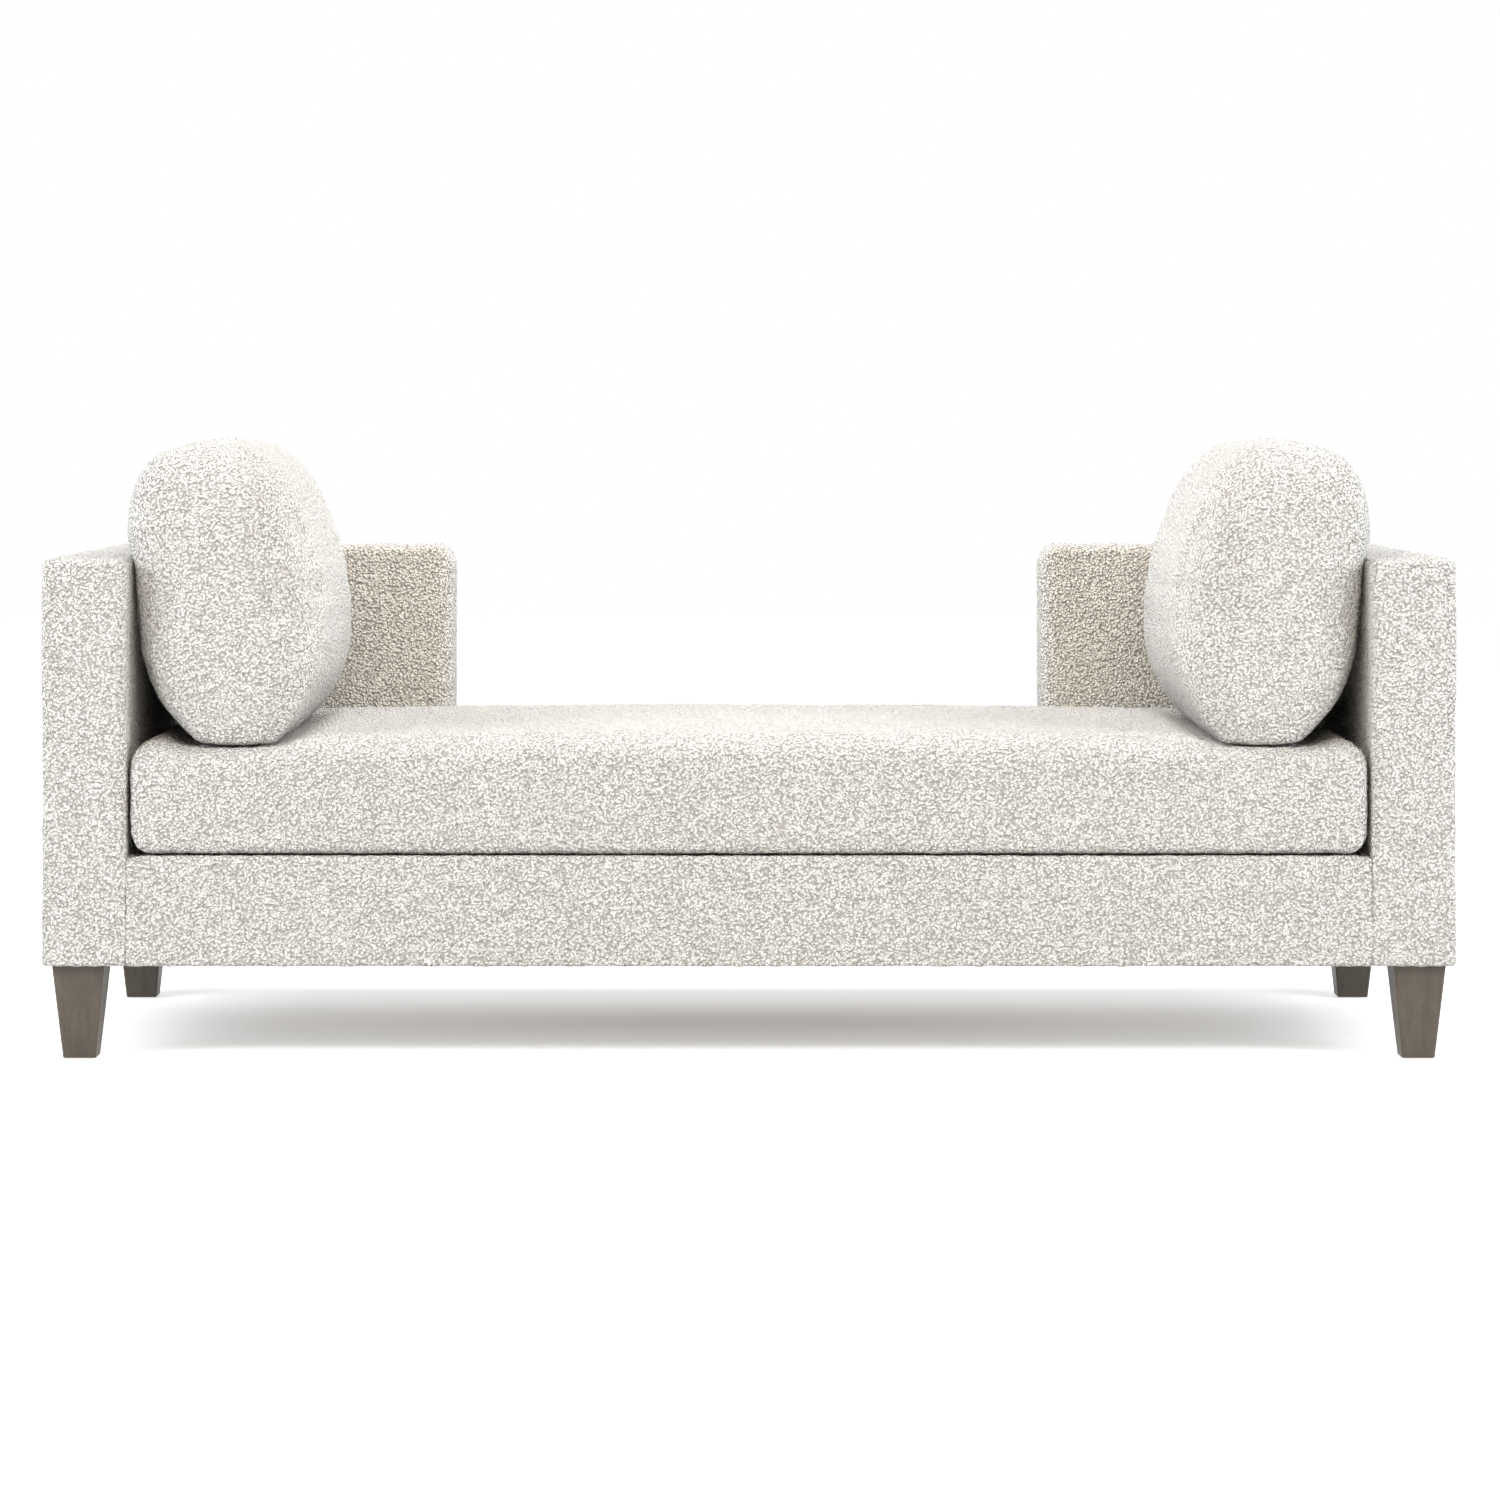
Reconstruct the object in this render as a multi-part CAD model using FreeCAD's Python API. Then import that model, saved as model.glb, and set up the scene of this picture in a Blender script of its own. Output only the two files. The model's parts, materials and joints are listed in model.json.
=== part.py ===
import FreeCAD, Part
import math
import os

# Double-ended chaise longue with an upholstered arm and a short back return at each end,
# a loose boxed seat cushion, two loose box pillows and four tapered legs.
# Millimetres. +X is the viewer's right, +Y the back, +Z up. The origin is on the floor,
# under the centre of the body.

Vec = FreeCAD.Vector

# Overall sizes
overall_length = 2134.0
overall_depth = 838.0
underside_height = 143.0
arm_height = 757.0
arm_thickness = 127.0
return_reach = 574.0
deck_height = 309.0

# Clearances and the overrun of every cut
layer_gap = 0.3
wood_fit = 0.2
bore_clearance = 0.25
notch_clearance = 1.0
overrun = 5.0

# Cloth, padding and panels
cover_thickness = 3.0
padding_thickness = 12.0
board_thickness = 3.0
lip_width = 25.0
deck_lip_width = 90.0
ledge_lip_width = 42.0
body_edge_radius = 10.0
rail_edge_radius = 8.0
return_end_radius = 22.0

# Timber
post_thickness = 38.0
plate_height = 38.0
rail_thickness = 28.0
cross_rail_height = 90.0
cross_rail_spacing = 640.0
sill_bearing = 9.0
ledge_board_thickness = 10.0
tenon_length = 20.0
tenon_thickness = 12.0
tenon_width = 50.0
rail_tenon_height = 70.0
short_tenon_height = 20.0
glue_block_leg = 70.0

# Seat suspension
spring_wire = 4.0
spring_width = 52.0
spring_leg_pitch = 60.0
spring_bend = 9.0
spring_spacing = 152.0
clip_steel = 1.2
clip_width = 18.0
clip_depth = 14.0
rear_clip_inset = 12.0
tie_wire = 3.0
tie_wire_spacing = 230.0
insulator_thickness = 3.0
deck_foam_thickness = 10.0
dust_cover_thickness = 1.0

# Legs and their fixings
leg_top = 79.0
leg_foot = 49.4
leg_edge_cut = 2.0
leg_inset = 13.6
rear_leg_inset = 74.4
leg_plate_size = 66.0
leg_plate_thickness = 2.5
leg_bolt_radius = 4.0
leg_bolt_in_leg = 45.0
leg_bolt_in_frame = 24.0
plate_screw_radius = 2.0
plate_screw_head_radius = 3.8
plate_screw_head_height = 2.0
plate_screw_length = 18.0
plate_screw_spread = 48.0
glide_radius = 11.0
glide_height = 1.5
glide_nail_radius = 1.6
glide_nail_length = 18.0

# Seat cushion
cushion_side_gap = 2.0
cushion_front_inset = 3.0
cushion_rear_gap = 2.0
cushion_top = 491.0
cushion_end_drop = 11.0
cushion_crown = 3.5
cushion_top_radius = 42.0
cushion_base_radius = 16.0
cushion_front_swell = 3.0
cushion_end_radius = 36.0
cushion_end_swell = 1.5
cushion_corner_radius = 22.0

# Pillows
pillow_length = 610.0
pillow_width = 244.0
pillow_height = 461.0
pillow_side_swell = 27.0
pillow_end_swell = 4.0
pillow_top_radius = 80.0
pillow_base_radius = 60.0
pillow_lean = 9.0
pillow_plan_radius = 72.0
pillow_plan_swell = 12.0
pillow_upright_radius = 95.0
pillow_upright_swell = 8.0
pillow_end_relief = 3.0
pillow_front_setback = 22.0
pillow_arm_gap = 1.0
pillow_sink = 9.0
pillow_press_depth = 17.0
pillow_foot_inset = 74.0
pillow_foot_width = 166.0
pillow_press_ramp = 62.0

# Zip of the seat cushion
zip_length = 880.0
zip_tape_width = 14.0
zip_tape_thickness = 1.6
zip_chain_width = 5.0
zip_chain_height = 1.0
slider_length = 12.0
slider_width = 9.0
slider_height = 3.2
pull_length = 26.0
pull_width = 5.0
pull_thickness = 1.2

# How many sides stand for a small round, and how many chords for a hidden arc
rod_sides = 8
hidden_chords = 3
pillow_chords = 6

# Planes that the pieces share. Ends are worked out for the right side and mirrored.
half_length = overall_length / 2
half_depth = overall_depth / 2
arm_inner = half_length - arm_thickness
return_end = half_length - return_reach
return_front = half_depth - arm_thickness
pillow_seat_height = cushion_top - pillow_press_depth
padding_offset = cover_thickness + layer_gap
padding_inner_offset = padding_offset + padding_thickness
frame_offset = padding_inner_offset + layer_gap
core_offset = frame_offset + board_thickness

cover_floor = underside_height + cover_thickness
timber_bottom = cover_floor + layer_gap
frame_top = arm_height - frame_offset
frame_front = -half_depth + frame_offset
frame_rear = half_depth - frame_offset
arm_core_inner = arm_inner + core_offset
arm_core_outer = half_length - core_offset
return_core_front = return_front + core_offset
return_core_rear = half_depth - core_offset
return_core_end = return_end + frame_offset

deck_cloth_bottom = deck_height - cover_thickness
deck_foam_top = deck_cloth_bottom - layer_gap
deck_foam_bottom = deck_foam_top - deck_foam_thickness
insulator_top = deck_foam_bottom - layer_gap
tuck_height = insulator_top - insulator_thickness
clip_top = tuck_height - layer_gap
wire_top = clip_top - clip_steel - layer_gap
wire_bottom = wire_top - spring_wire
clip_base_top = wire_bottom - layer_gap
rail_top = clip_base_top - clip_steel

front_rail_rear = frame_front + rail_thickness
back_rail_front = frame_rear - rail_thickness
seat_rail_rear = return_core_front + sill_bearing
seat_rail_front = seat_rail_rear - rail_thickness
sill_top = timber_bottom + plate_height
top_rail_bottom = frame_top - plate_height
return_sill_top = rail_top + plate_height

leg_plate_bottom = timber_bottom - leg_plate_thickness
leg_height = leg_plate_bottom - layer_gap
leg_x = half_length - leg_inset - leg_top / 2
front_leg_y = -half_depth + leg_inset + leg_top / 2
rear_leg_y = half_depth - rear_leg_inset - leg_top / 2
leg_places = {
    "front_left_leg": (-leg_x, front_leg_y),
    "front_right_leg": (leg_x, front_leg_y),
    "rear_left_leg": (-leg_x, rear_leg_y),
    "rear_right_leg": (leg_x, rear_leg_y),
}

parts = {}


# Helpers

def block(x, y, z):
    """A square-edged block between pairs of limits."""
    size = (x[1] - x[0], y[1] - y[0], z[1] - z[0])
    return Part.makeBox(size[0], size[1], size[2], Vec(x[0], y[0], z[0]))


def both(limit):
    """The pair of limits from minus to plus one size."""
    return (-limit, limit)


def cylinder(x, y, z, radius):
    """An upright cylinder between two heights."""
    return Part.makeCylinder(radius, z[1] - z[0], Vec(x, y, z[0]))


def rod_outline(x, y, z, radius):
    """The many-sided outline of a small rod or bore at one height."""
    points = []
    for k in range(rod_sides + 1):
        turn = 2 * math.pi * (k + 1 / 2) / rod_sides
        points.append(Vec(x + radius * math.cos(turn), y + radius * math.sin(turn), z))
    return Part.makePolygon(points)


def rod(x, y, z, radius):
    """An upright many-sided rod between two heights."""
    face = Part.Face(rod_outline(x, y, z[0], radius))
    return face.extrude(Vec(0, 0, z[1] - z[0]))


def mirrored(shape):
    """The same piece on the other side of the middle plane."""
    return shape.mirror(Vec(0, 0, 0), Vec(1, 0, 0))


def both_ends(name, shape):
    """Files a piece of the right end, and its mirror image for the left end."""
    parts["right_" + name] = shape
    parts["left_" + name] = mirrored(shape)


def arc_edges(start, middle, end, chords):
    """An arc through three points: whole, or as a number of equal chords."""
    arc = Part.Arc(start, middle, end).toShape()
    if chords == 0:
        return [arc]
    points = arc.discretize(Number=chords + 1)
    return [Part.LineSegment(a, b).toShape() for a, b in zip(points, points[1:])]


def swelling_prism(u, v, w, radii, swells, place, chords=0):
    """A prism whose outline is a rectangle with rounded corners and swelling sides.

    The outline lies in u and v; the prism runs along w. radii are those of the corners,
    anticlockwise from the low one, and swells the rise of the sides, anticlockwise from
    the bottom. place turns u, v and w into a point.
    """
    centres = [
        (u[0] + radii[0], v[0] + radii[0]),
        (u[1] - radii[1], v[0] + radii[1]),
        (u[1] - radii[2], v[1] - radii[2]),
        (u[0] + radii[3], v[1] - radii[3]),
    ]
    corners = []
    for k in range(4):
        first = math.pi + k * math.pi / 2
        points = []
        for turn in (0, math.pi / 4, math.pi / 2):
            pu = centres[k][0] + radii[k] * math.cos(first + turn)
            pv = centres[k][1] + radii[k] * math.sin(first + turn)
            points.append((pu, pv))
        corners.append(points)
    outward = ((0, -1), (1, 0), (0, 1), (-1, 0))
    edges = []
    for k in range(4):
        if radii[k] > 0:
            edges += arc_edges(*[place(pu, pv, w[0]) for pu, pv in corners[k]], chords)
        start = corners[k][2]
        end = corners[(k + 1) % 4][0]
        first = place(start[0], start[1], w[0])
        last = place(end[0], end[1], w[0])
        if swells[k] == 0:
            edges.append(Part.LineSegment(first, last).toShape())
            continue
        mid_u = (start[0] + end[0]) / 2 + outward[k][0] * swells[k]
        mid_v = (start[1] + end[1]) / 2 + outward[k][1] * swells[k]
        edges += arc_edges(first, place(mid_u, mid_v, w[0]), last, chords)
    face = Part.Face(Part.Wire(edges))
    return face.extrude(place(0, 0, w[1]) - place(0, 0, w[0]))


def rounded_prism(u, v, w, radii, place):
    """A prism whose outline is a rectangle with its own radius at each corner."""
    return swelling_prism(u, v, w, radii, (0, 0, 0, 0), place)


def rounded_block(x, y, z, plan, front, side):
    """A block whose edges are rounded: the space that three rounded prisms share.

    plan holds the radii seen from above (x, y), front those seen from the front (x, z) and
    side those seen from the right (y, z).
    """
    shape = rounded_prism(x, y, z, plan, lambda u, v, w: Vec(u, v, w))
    if any(front):
        other = rounded_prism(x, z, y, front, lambda u, v, w: Vec(u, w, v))
        shape = shape.common(other)
    if any(side):
        other = rounded_prism(y, z, x, side, lambda u, v, w: Vec(w, u, v))
        shape = shape.common(other)
    return shape


def edge_rounded(x, y, z, side):
    """A lengthwise block rounded along its long edges; side holds their radii."""
    return rounded_block(x, y, z, (0, 0, 0, 0), (0, 0, 0, 0), side)


def soft(radius, inset):
    """The radius of a layer drawn in by an inset. Cloth and padding are rounded; wood is square."""
    return max(radius - inset, 0) if inset < padding_inner_offset else 0


def solid_of(shape):
    """The one solid that a boolean left, without its wrapper."""
    if len(shape.Solids) != 1:
        raise ValueError("expected one solid, got %d" % len(shape.Solids))
    return shape.Solids[0]


def leg_notches(clearance, z):
    """Square blocks round the head of every leg."""
    half = leg_top / 2 + clearance
    found = []
    for x, y in leg_places.values():
        found.append(block((x - half, x + half), (y - half, y + half), z))
    return found


# Arms and returns: nested upholstered boxes, worked out for the right end

def arm_box(inset, bottom):
    """The arm's outer form drawn in by an inset, from a given height upwards."""
    r = soft(body_edge_radius, inset)
    floor_r = r if bottom <= underside_height else 0
    return rounded_block(
        (arm_inner + inset, half_length - inset),
        (-half_depth + inset, half_depth - inset),
        (bottom, arm_height - inset),
        (r, r, r, 0),
        (0, floor_r, r, r),
        (floor_r, floor_r, r, r),
    )


def return_box(inset, bottom, inner_end):
    """The return's outer form drawn in by an inset, up to a plane beside or inside the arm."""
    r = soft(body_edge_radius, inset)
    end_r = soft(return_end_radius, inset)
    floor_r = r if bottom <= underside_height else 0
    return rounded_block(
        (return_end + inset, inner_end),
        (return_front + inset, half_depth - inset),
        (bottom, arm_height - inset),
        (r, 0, 0, r),
        (0, 0, 0, end_r),
        (0, floor_r, r, r),
    )


def return_passage(inset):
    """The opening through the arm's inner wall where the return's inside joins it."""
    return block(
        (arm_inner - overrun, arm_core_inner),
        (return_front + inset, half_depth - inset),
        (tuck_height, arm_height - inset),
    )


def make_arm_layers():
    """Cover and padding of an arm: open below, and open to the return and to the deck."""
    below = underside_height - overrun
    inner_side = (arm_inner - overrun, half_length - cover_thickness)
    cover = arm_box(0, underside_height)
    cover = cover.cut(arm_box(cover_thickness, cover_floor))
    depth = both(half_depth - cover_thickness)
    cover = cover.cut(block(inner_side, depth, (cover_floor, tuck_height)))
    opening = (arm_inner - overrun, half_length - lip_width)
    cover = cover.cut(block(opening, both(half_depth - lip_width), (below, timber_bottom)))
    cover = cover.cut(return_passage(cover_thickness))
    for notch in leg_notches(notch_clearance, (below, timber_bottom)):
        cover = cover.cut(notch)
    both_ends("arm_cover", solid_of(cover))

    padding = arm_box(padding_offset, timber_bottom)
    padding = padding.cut(arm_box(padding_inner_offset, timber_bottom))
    inner_side = (arm_inner - overrun, half_length - padding_inner_offset)
    depth = both(half_depth - padding_offset)
    low = (timber_bottom - overrun, tuck_height)
    padding = padding.cut(block(inner_side, both(half_depth - padding_inner_offset), low))
    inner_skin = (arm_inner - overrun, arm_inner + padding_inner_offset)
    padding = padding.cut(block(inner_skin, depth, low))
    padding = padding.cut(return_passage(padding_inner_offset))
    both_ends("arm_padding", solid_of(padding))


def make_return_layers():
    """Cover and padding of a return: walls end at the deck, and the rear wall runs down."""
    below = underside_height - overrun
    beside_arm = arm_inner - layer_gap
    reach = (return_end - overrun, arm_inner + overrun)
    cover = return_box(0, underside_height, beside_arm)
    cover = cover.cut(return_box(cover_thickness, cover_floor, arm_inner + overrun))
    depth = (return_front - overrun, half_depth - cover_thickness)
    cover = cover.cut(block(reach, depth, (cover_floor, tuck_height)))
    depth = (return_front - overrun, half_depth - lip_width)
    cover = cover.cut(block(reach, depth, (below, cover_floor)))
    for notch in leg_notches(notch_clearance, (below, timber_bottom)):
        cover = cover.cut(notch)
    both_ends("return_cover", solid_of(cover))

    padding = return_box(padding_offset, timber_bottom, beside_arm)
    padding = padding.cut(return_box(padding_inner_offset, timber_bottom, arm_inner + overrun))
    depth = (return_front - overrun, half_depth - padding_inner_offset)
    padding = padding.cut(block(reach, depth, (timber_bottom - overrun, tuck_height)))
    both_ends("return_padding", solid_of(padding))


def make_end_boards():
    """Hardboard panels on the frame's faces, which carry the padding."""
    high = frame_top
    outer = block(
        (arm_core_outer, arm_core_outer + board_thickness),
        (frame_front, frame_rear),
        (timber_bottom, high),
    )
    inner = block(
        (arm_core_inner - board_thickness, arm_core_inner),
        (frame_front, return_core_front - layer_gap),
        (tuck_height, high),
    )
    both_ends("arm_boards", Part.makeCompound([outer, inner]))

    reach = (return_core_end, arm_core_inner - board_thickness - layer_gap)
    front = block(reach, (return_core_front - board_thickness, return_core_front), (tuck_height, high))
    reach = (return_core_end, arm_core_inner)
    back = block(reach, (return_core_rear, return_core_rear + board_thickness), (rail_top, high))
    both_ends("return_boards", Part.makeCompound([front, back]))


# Timber frame

def tenon(x, y, z, grow):
    """A tenon or, grown by the wood fit, its mortise."""
    return block((x[0] - grow, x[1] + grow), (y[0] - grow, y[1] + grow), (z[0] - grow, z[1] + grow))


def centred(middle, size):
    """The pair of limits of a size about its middle."""
    return (middle - size / 2, middle + size / 2)


def post_tenons(x_middle, y_middle, along_x, low, high):
    """Limits of the two tenons at the foot and head of a post."""
    if along_x:
        x = centred(x_middle, tenon_width)
        y = centred(y_middle, tenon_thickness)
    else:
        x = centred(x_middle, tenon_thickness)
        y = centred(y_middle, tenon_width)
    foot = (x, y, (low - tenon_length, low))
    head = (x, y, (high, high + tenon_length))
    return [foot, head]


def rail_tenon(y_middle, z_middle, height):
    """Limits of a tenon at the right end of a lengthwise rail."""
    y = centred(y_middle, tenon_thickness)
    return ((arm_core_inner, arm_core_inner + tenon_length), y, centred(z_middle, height))


def with_tenons(shape, tenons):
    """A member with its tenons."""
    for x, y, z in tenons:
        shape = shape.fuse(tenon(x, y, z, 0))
    return shape.removeSplitter()


def with_mortises(shape, tenons):
    """A member with the mortises of other members' tenons."""
    for x, y, z in tenons:
        shape = shape.cut(tenon(x, y, z, wood_fit))
    return shape


def lengthwise(shape, tenon_limits):
    """A rail with a tenon at each end."""
    x, y, z = tenon_limits
    return with_tenons(shape, [(x, y, z), ((-x[1], -x[0]), y, z)])


def make_frame():
    """The mortised timber frame: one set of rails and two mirrored ends."""
    arm_x = (arm_core_inner, arm_core_outer)
    arm_middle = (arm_core_inner + arm_core_outer) / 2
    return_y = (return_core_front, return_core_rear)
    return_middle = (return_core_front + return_core_rear) / 2
    front_post_y = (frame_front, frame_front + post_thickness)
    corner_post_y = (frame_rear - post_thickness, frame_rear)
    end_post_x = (return_core_end, return_core_end + post_thickness)
    end_post_middle = (end_post_x[0] + end_post_x[1]) / 2
    rail_z = (timber_bottom, rail_top)
    rail_z_middle = (sill_top + rail_top) / 2
    sill_z_middle = (timber_bottom + sill_top) / 2
    return_sill_middle = (rail_top + return_sill_top) / 2
    top_rail_middle = (top_rail_bottom + frame_top) / 2
    front_y_middle = (frame_front + front_rail_rear) / 2
    back_y_middle = (back_rail_front + frame_rear) / 2
    seat_y_middle = (seat_rail_front + seat_rail_rear) / 2
    corner_y_middle = (corner_post_y[0] + corner_post_y[1]) / 2
    front_post_middle = (front_post_y[0] + front_post_y[1]) / 2

    front_tenon = rail_tenon(front_y_middle, rail_z_middle, rail_tenon_height)
    back_tenon = rail_tenon(back_y_middle, rail_z_middle, rail_tenon_height)
    seat_tenon = rail_tenon(seat_y_middle, sill_z_middle, short_tenon_height)
    sill_tenon = rail_tenon(corner_y_middle, return_sill_middle, short_tenon_height)
    head_tenon = rail_tenon(return_middle, top_rail_middle, short_tenon_height)

    front_post_tenons = post_tenons(arm_middle, front_post_middle, True, sill_top, top_rail_bottom)
    corner_post_tenons = post_tenons(arm_middle, corner_y_middle, True, sill_top, top_rail_bottom)
    end_post_tenons = post_tenons(end_post_middle, return_middle, False, return_sill_top, top_rail_bottom)

    length = both(arm_core_inner)
    front = block(length, (frame_front, front_rail_rear), rail_z)
    parts["front_rail"] = lengthwise(front, front_tenon)
    back = block(length, (back_rail_front, frame_rear), rail_z)
    parts["back_rail"] = lengthwise(back, back_tenon)
    seat = block(length, (seat_rail_front, seat_rail_rear), rail_z)
    parts["seat_rail"] = lengthwise(seat, seat_tenon)

    low_z = (timber_bottom, sill_top)
    sill = block(arm_x, (frame_front, frame_rear), low_z)
    sill = with_mortises(sill, [front_post_tenons[0], corner_post_tenons[0], seat_tenon])
    sill = drilled_for_legs(sill)
    both_ends("arm_sill", sill)

    post_z = (sill_top, top_rail_bottom)
    post = with_tenons(block(arm_x, front_post_y, post_z), front_post_tenons)
    both_ends("front_post", with_mortises(post, [front_tenon]))
    post = with_tenons(block(arm_x, corner_post_y, post_z), corner_post_tenons)
    both_ends("corner_post", with_mortises(post, [back_tenon, sill_tenon]))

    top_z = (top_rail_bottom, frame_top)
    top = block(arm_x, (frame_front, frame_rear), top_z)
    top = with_mortises(top, [front_post_tenons[1], corner_post_tenons[1], head_tenon])
    both_ends("arm_top_rail", top)

    return_x = (return_core_end, arm_core_inner)
    return_sill = block(return_x, return_y, (rail_top, return_sill_top))
    return_sill = with_mortises(return_sill, [end_post_tenons[0]])
    both_ends("return_sill", with_tenons(return_sill, [sill_tenon]))
    post = block(end_post_x, return_y, (return_sill_top, top_rail_bottom))
    both_ends("return_end_post", with_tenons(post, end_post_tenons))
    return_top = block(return_x, return_y, top_z)
    return_top = with_mortises(return_top, [end_post_tenons[1]])
    both_ends("return_top_rail", with_tenons(return_top, [head_tenon]))


def drilled_for_legs(shape):
    """The leg bolt hole and plate screw holes in the underside of an arm's sill."""
    for x, y in leg_places.values():
        bolt_top = timber_bottom + leg_bolt_in_frame
        drill = leg_bolt_radius + bore_clearance
        shape = shape.cut(rod(x, y, (timber_bottom - overrun, bolt_top), drill))
        screw_top = leg_plate_bottom + plate_screw_length + bore_clearance
        drill = plate_screw_radius + bore_clearance
        for sx, sy in screw_places(x, y):
            shape = shape.cut(rod(sx, sy, (timber_bottom - overrun, screw_top), drill))
    return shape


def make_cross_rails():
    """Two cross rails under the springs, a ledge board, and glue blocks in the corners."""
    rails = []
    for side in (-1, 1):
        x = centred(side * cross_rail_spacing / 2, rail_thickness)
        z = (timber_bottom, timber_bottom + cross_rail_height)
        rails.append(block(x, (front_rail_rear, seat_rail_front), z))
    parts["cross_rails"] = Part.makeCompound(rails)

    x = both(return_end - layer_gap)
    z = (rail_top, rail_top + ledge_board_thickness)
    parts["ledge_board"] = block(x, (return_core_front, frame_rear), z)

    blocks = []
    for y, way in ((front_rail_rear, 1), (seat_rail_front, -1)):
        corner = Vec(arm_core_inner, y, timber_bottom)
        along = Vec(arm_core_inner - glue_block_leg, y, timber_bottom)
        across = Vec(arm_core_inner, y + way * glue_block_leg, timber_bottom)
        outline = Part.makePolygon([corner, along, across, corner])
        wedge = Part.Face(outline).extrude(Vec(0, 0, plate_height))
        blocks.append(wedge)
        blocks.append(mirrored(wedge))
    parts["glue_blocks"] = Part.makeCompound(blocks)


# Seat suspension

def band(points, width, bottom, height):
    """A flat band that follows a line of points, mitred at every turn."""
    sides = ([], [])
    last = len(points) - 1
    for k, point in enumerate(points):
        before = (point - points[k - 1]).normalize() if k > 0 else None
        after = (points[k + 1] - point).normalize() if k < last else None
        first = before or after
        second = after or before
        normal = Vec(-first.y - second.y, first.x + second.x, 0).normalize()
        reach = width / 2 / (normal.x * -first.y + normal.y * first.x)
        sides[0].append(point + normal * reach)
        sides[1].append(point - normal * reach)
    outline = sides[0] + sides[1][::-1]
    outline.append(outline[0])
    face = Part.Face(Part.makePolygon(outline))
    face.translate(Vec(0, 0, bottom))
    return face.extrude(Vec(0, 0, height))


def sinuous_spring(x_middle, y_first, y_last):
    """One spring: legs across, joined by squared bends on alternate sides."""
    legs = int((y_last - y_first) // spring_leg_pitch)
    pitch = (y_last - y_first) / legs
    half = spring_width / 2
    points = []
    for k in range(legs + 1):
        y = y_first + k * pitch
        side = 1 if k % 2 == 0 else -1
        start = Vec(x_middle - side * half, y - spring_bend, 0)
        lead_in = Vec(x_middle - side * (half - spring_bend), y, 0)
        lead_out = Vec(x_middle + side * (half - spring_bend), y, 0)
        leave = Vec(x_middle + side * half, y + spring_bend, 0)
        if k > 0:
            points.append(start)
        points.append(lead_in)
        points.append(lead_out)
        if k < legs:
            points.append(leave)
    return band(points, spring_wire, wire_bottom, spring_wire)


def spring_clip(x_middle, y_wire, way):
    """A folded steel clip that holds a spring's end leg on its rail; way points to the seat."""
    shut = y_wire - way * (spring_wire / 2 + layer_gap + clip_steel)
    mouth = shut + way * clip_depth
    x = centred(x_middle, clip_width)
    y = (min(shut, mouth), max(shut, mouth))
    body = block(x, y, (rail_top, clip_top))
    slot_y = sorted((shut + way * clip_steel, mouth + way * overrun))
    slot_x = (x[0] - overrun, x[1] + overrun)
    return body.cut(block(slot_x, slot_y, (clip_base_top, clip_top - clip_steel)))


def make_suspension():
    """Springs front to back, their clips, the tie wires and the layers of the deck."""
    y_first = (frame_front + front_rail_rear) / 2
    y_last = seat_rail_front + rear_clip_inset
    count = 1 + int(2 * (arm_inner - spring_width) // spring_spacing)
    springs = []
    clips = []
    for k in range(count):
        x = (k - (count - 1) / 2) * spring_spacing
        springs.append(sinuous_spring(x, y_first, y_last))
        clips.append(spring_clip(x, y_first, 1))
        clips.append(spring_clip(x, y_last, -1))
    parts["seat_springs"] = Part.makeCompound(springs)
    parts["spring_clips"] = Part.makeCompound(clips)

    wires = []
    half = (count - 1) / 2 * spring_spacing + spring_width / 2
    top = wire_bottom - layer_gap
    for side in (-1, 1):
        y = centred((y_first + y_last) / 2 + side * tie_wire_spacing / 2, tie_wire)
        wires.append(block(both(half), y, (top - tie_wire, top)))
    parts["tie_wires"] = Part.makeCompound(wires)

    x = both(arm_inner - layer_gap)
    rear = return_front - layer_gap
    parts["spring_insulator"] = block(x, (frame_front, rear), (tuck_height, insulator_top))
    parts["deck_foam"] = edge_rounded(
        x, (-half_depth + padding_offset, rear), (deck_foam_bottom, deck_foam_top),
        (0, 0, 0, soft(rail_edge_radius, padding_offset)),
    )
    lip_edge = half_depth - deck_lip_width
    cloth_z = (deck_cloth_bottom, deck_height)
    cloth = block(x, (-lip_edge + layer_gap, rear), cloth_z)
    notch_x = both(return_end)
    ledge = return_front - ledge_lip_width - layer_gap
    notch_z = (deck_cloth_bottom - overrun, deck_height + overrun)
    cloth = cloth.cut(block(notch_x, (ledge, rear + overrun), notch_z))
    parts["deck_cloth"] = cloth

    edge = lip_width + layer_gap
    z_top = timber_bottom - layer_gap
    sheet = block(both(half_length - edge), both(half_depth - edge), (z_top - dust_cover_thickness, z_top))
    for notch in leg_notches(notch_clearance, (underside_height - overrun, timber_bottom)):
        sheet = sheet.cut(notch)
    parts["dust_cover"] = solid_of(sheet)


# Front rail and back rail upholstery

def channel(x, y, z, lip, deep, radii, inner_radii):
    """A cloth channel: a rounded box, hollow, and open on its inner side.

    lip is the width of its lower turned-in edge, and deep is the open side's direction
    along y: 1 where the channel opens towards the back.
    """
    shape = edge_rounded(x, y, z, radii)
    wide = (x[0] - overrun, x[1] + overrun)
    wall = cover_thickness
    if deep > 0:
        inner_y = (y[0] + wall, y[1] + overrun)
        lip_y = (y[0] + lip, y[1] + overrun)
    else:
        inner_y = (y[0] - overrun, y[1] - wall)
        lip_y = (y[0] - overrun, y[1] - lip)
    inner_z = (z[0] + wall, z[1] - wall)
    shape = shape.cut(edge_rounded(wide, inner_y, inner_z, inner_radii))
    return shape.cut(block(wide, lip_y, (z[0] - overrun, z[0] + wall)))


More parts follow.
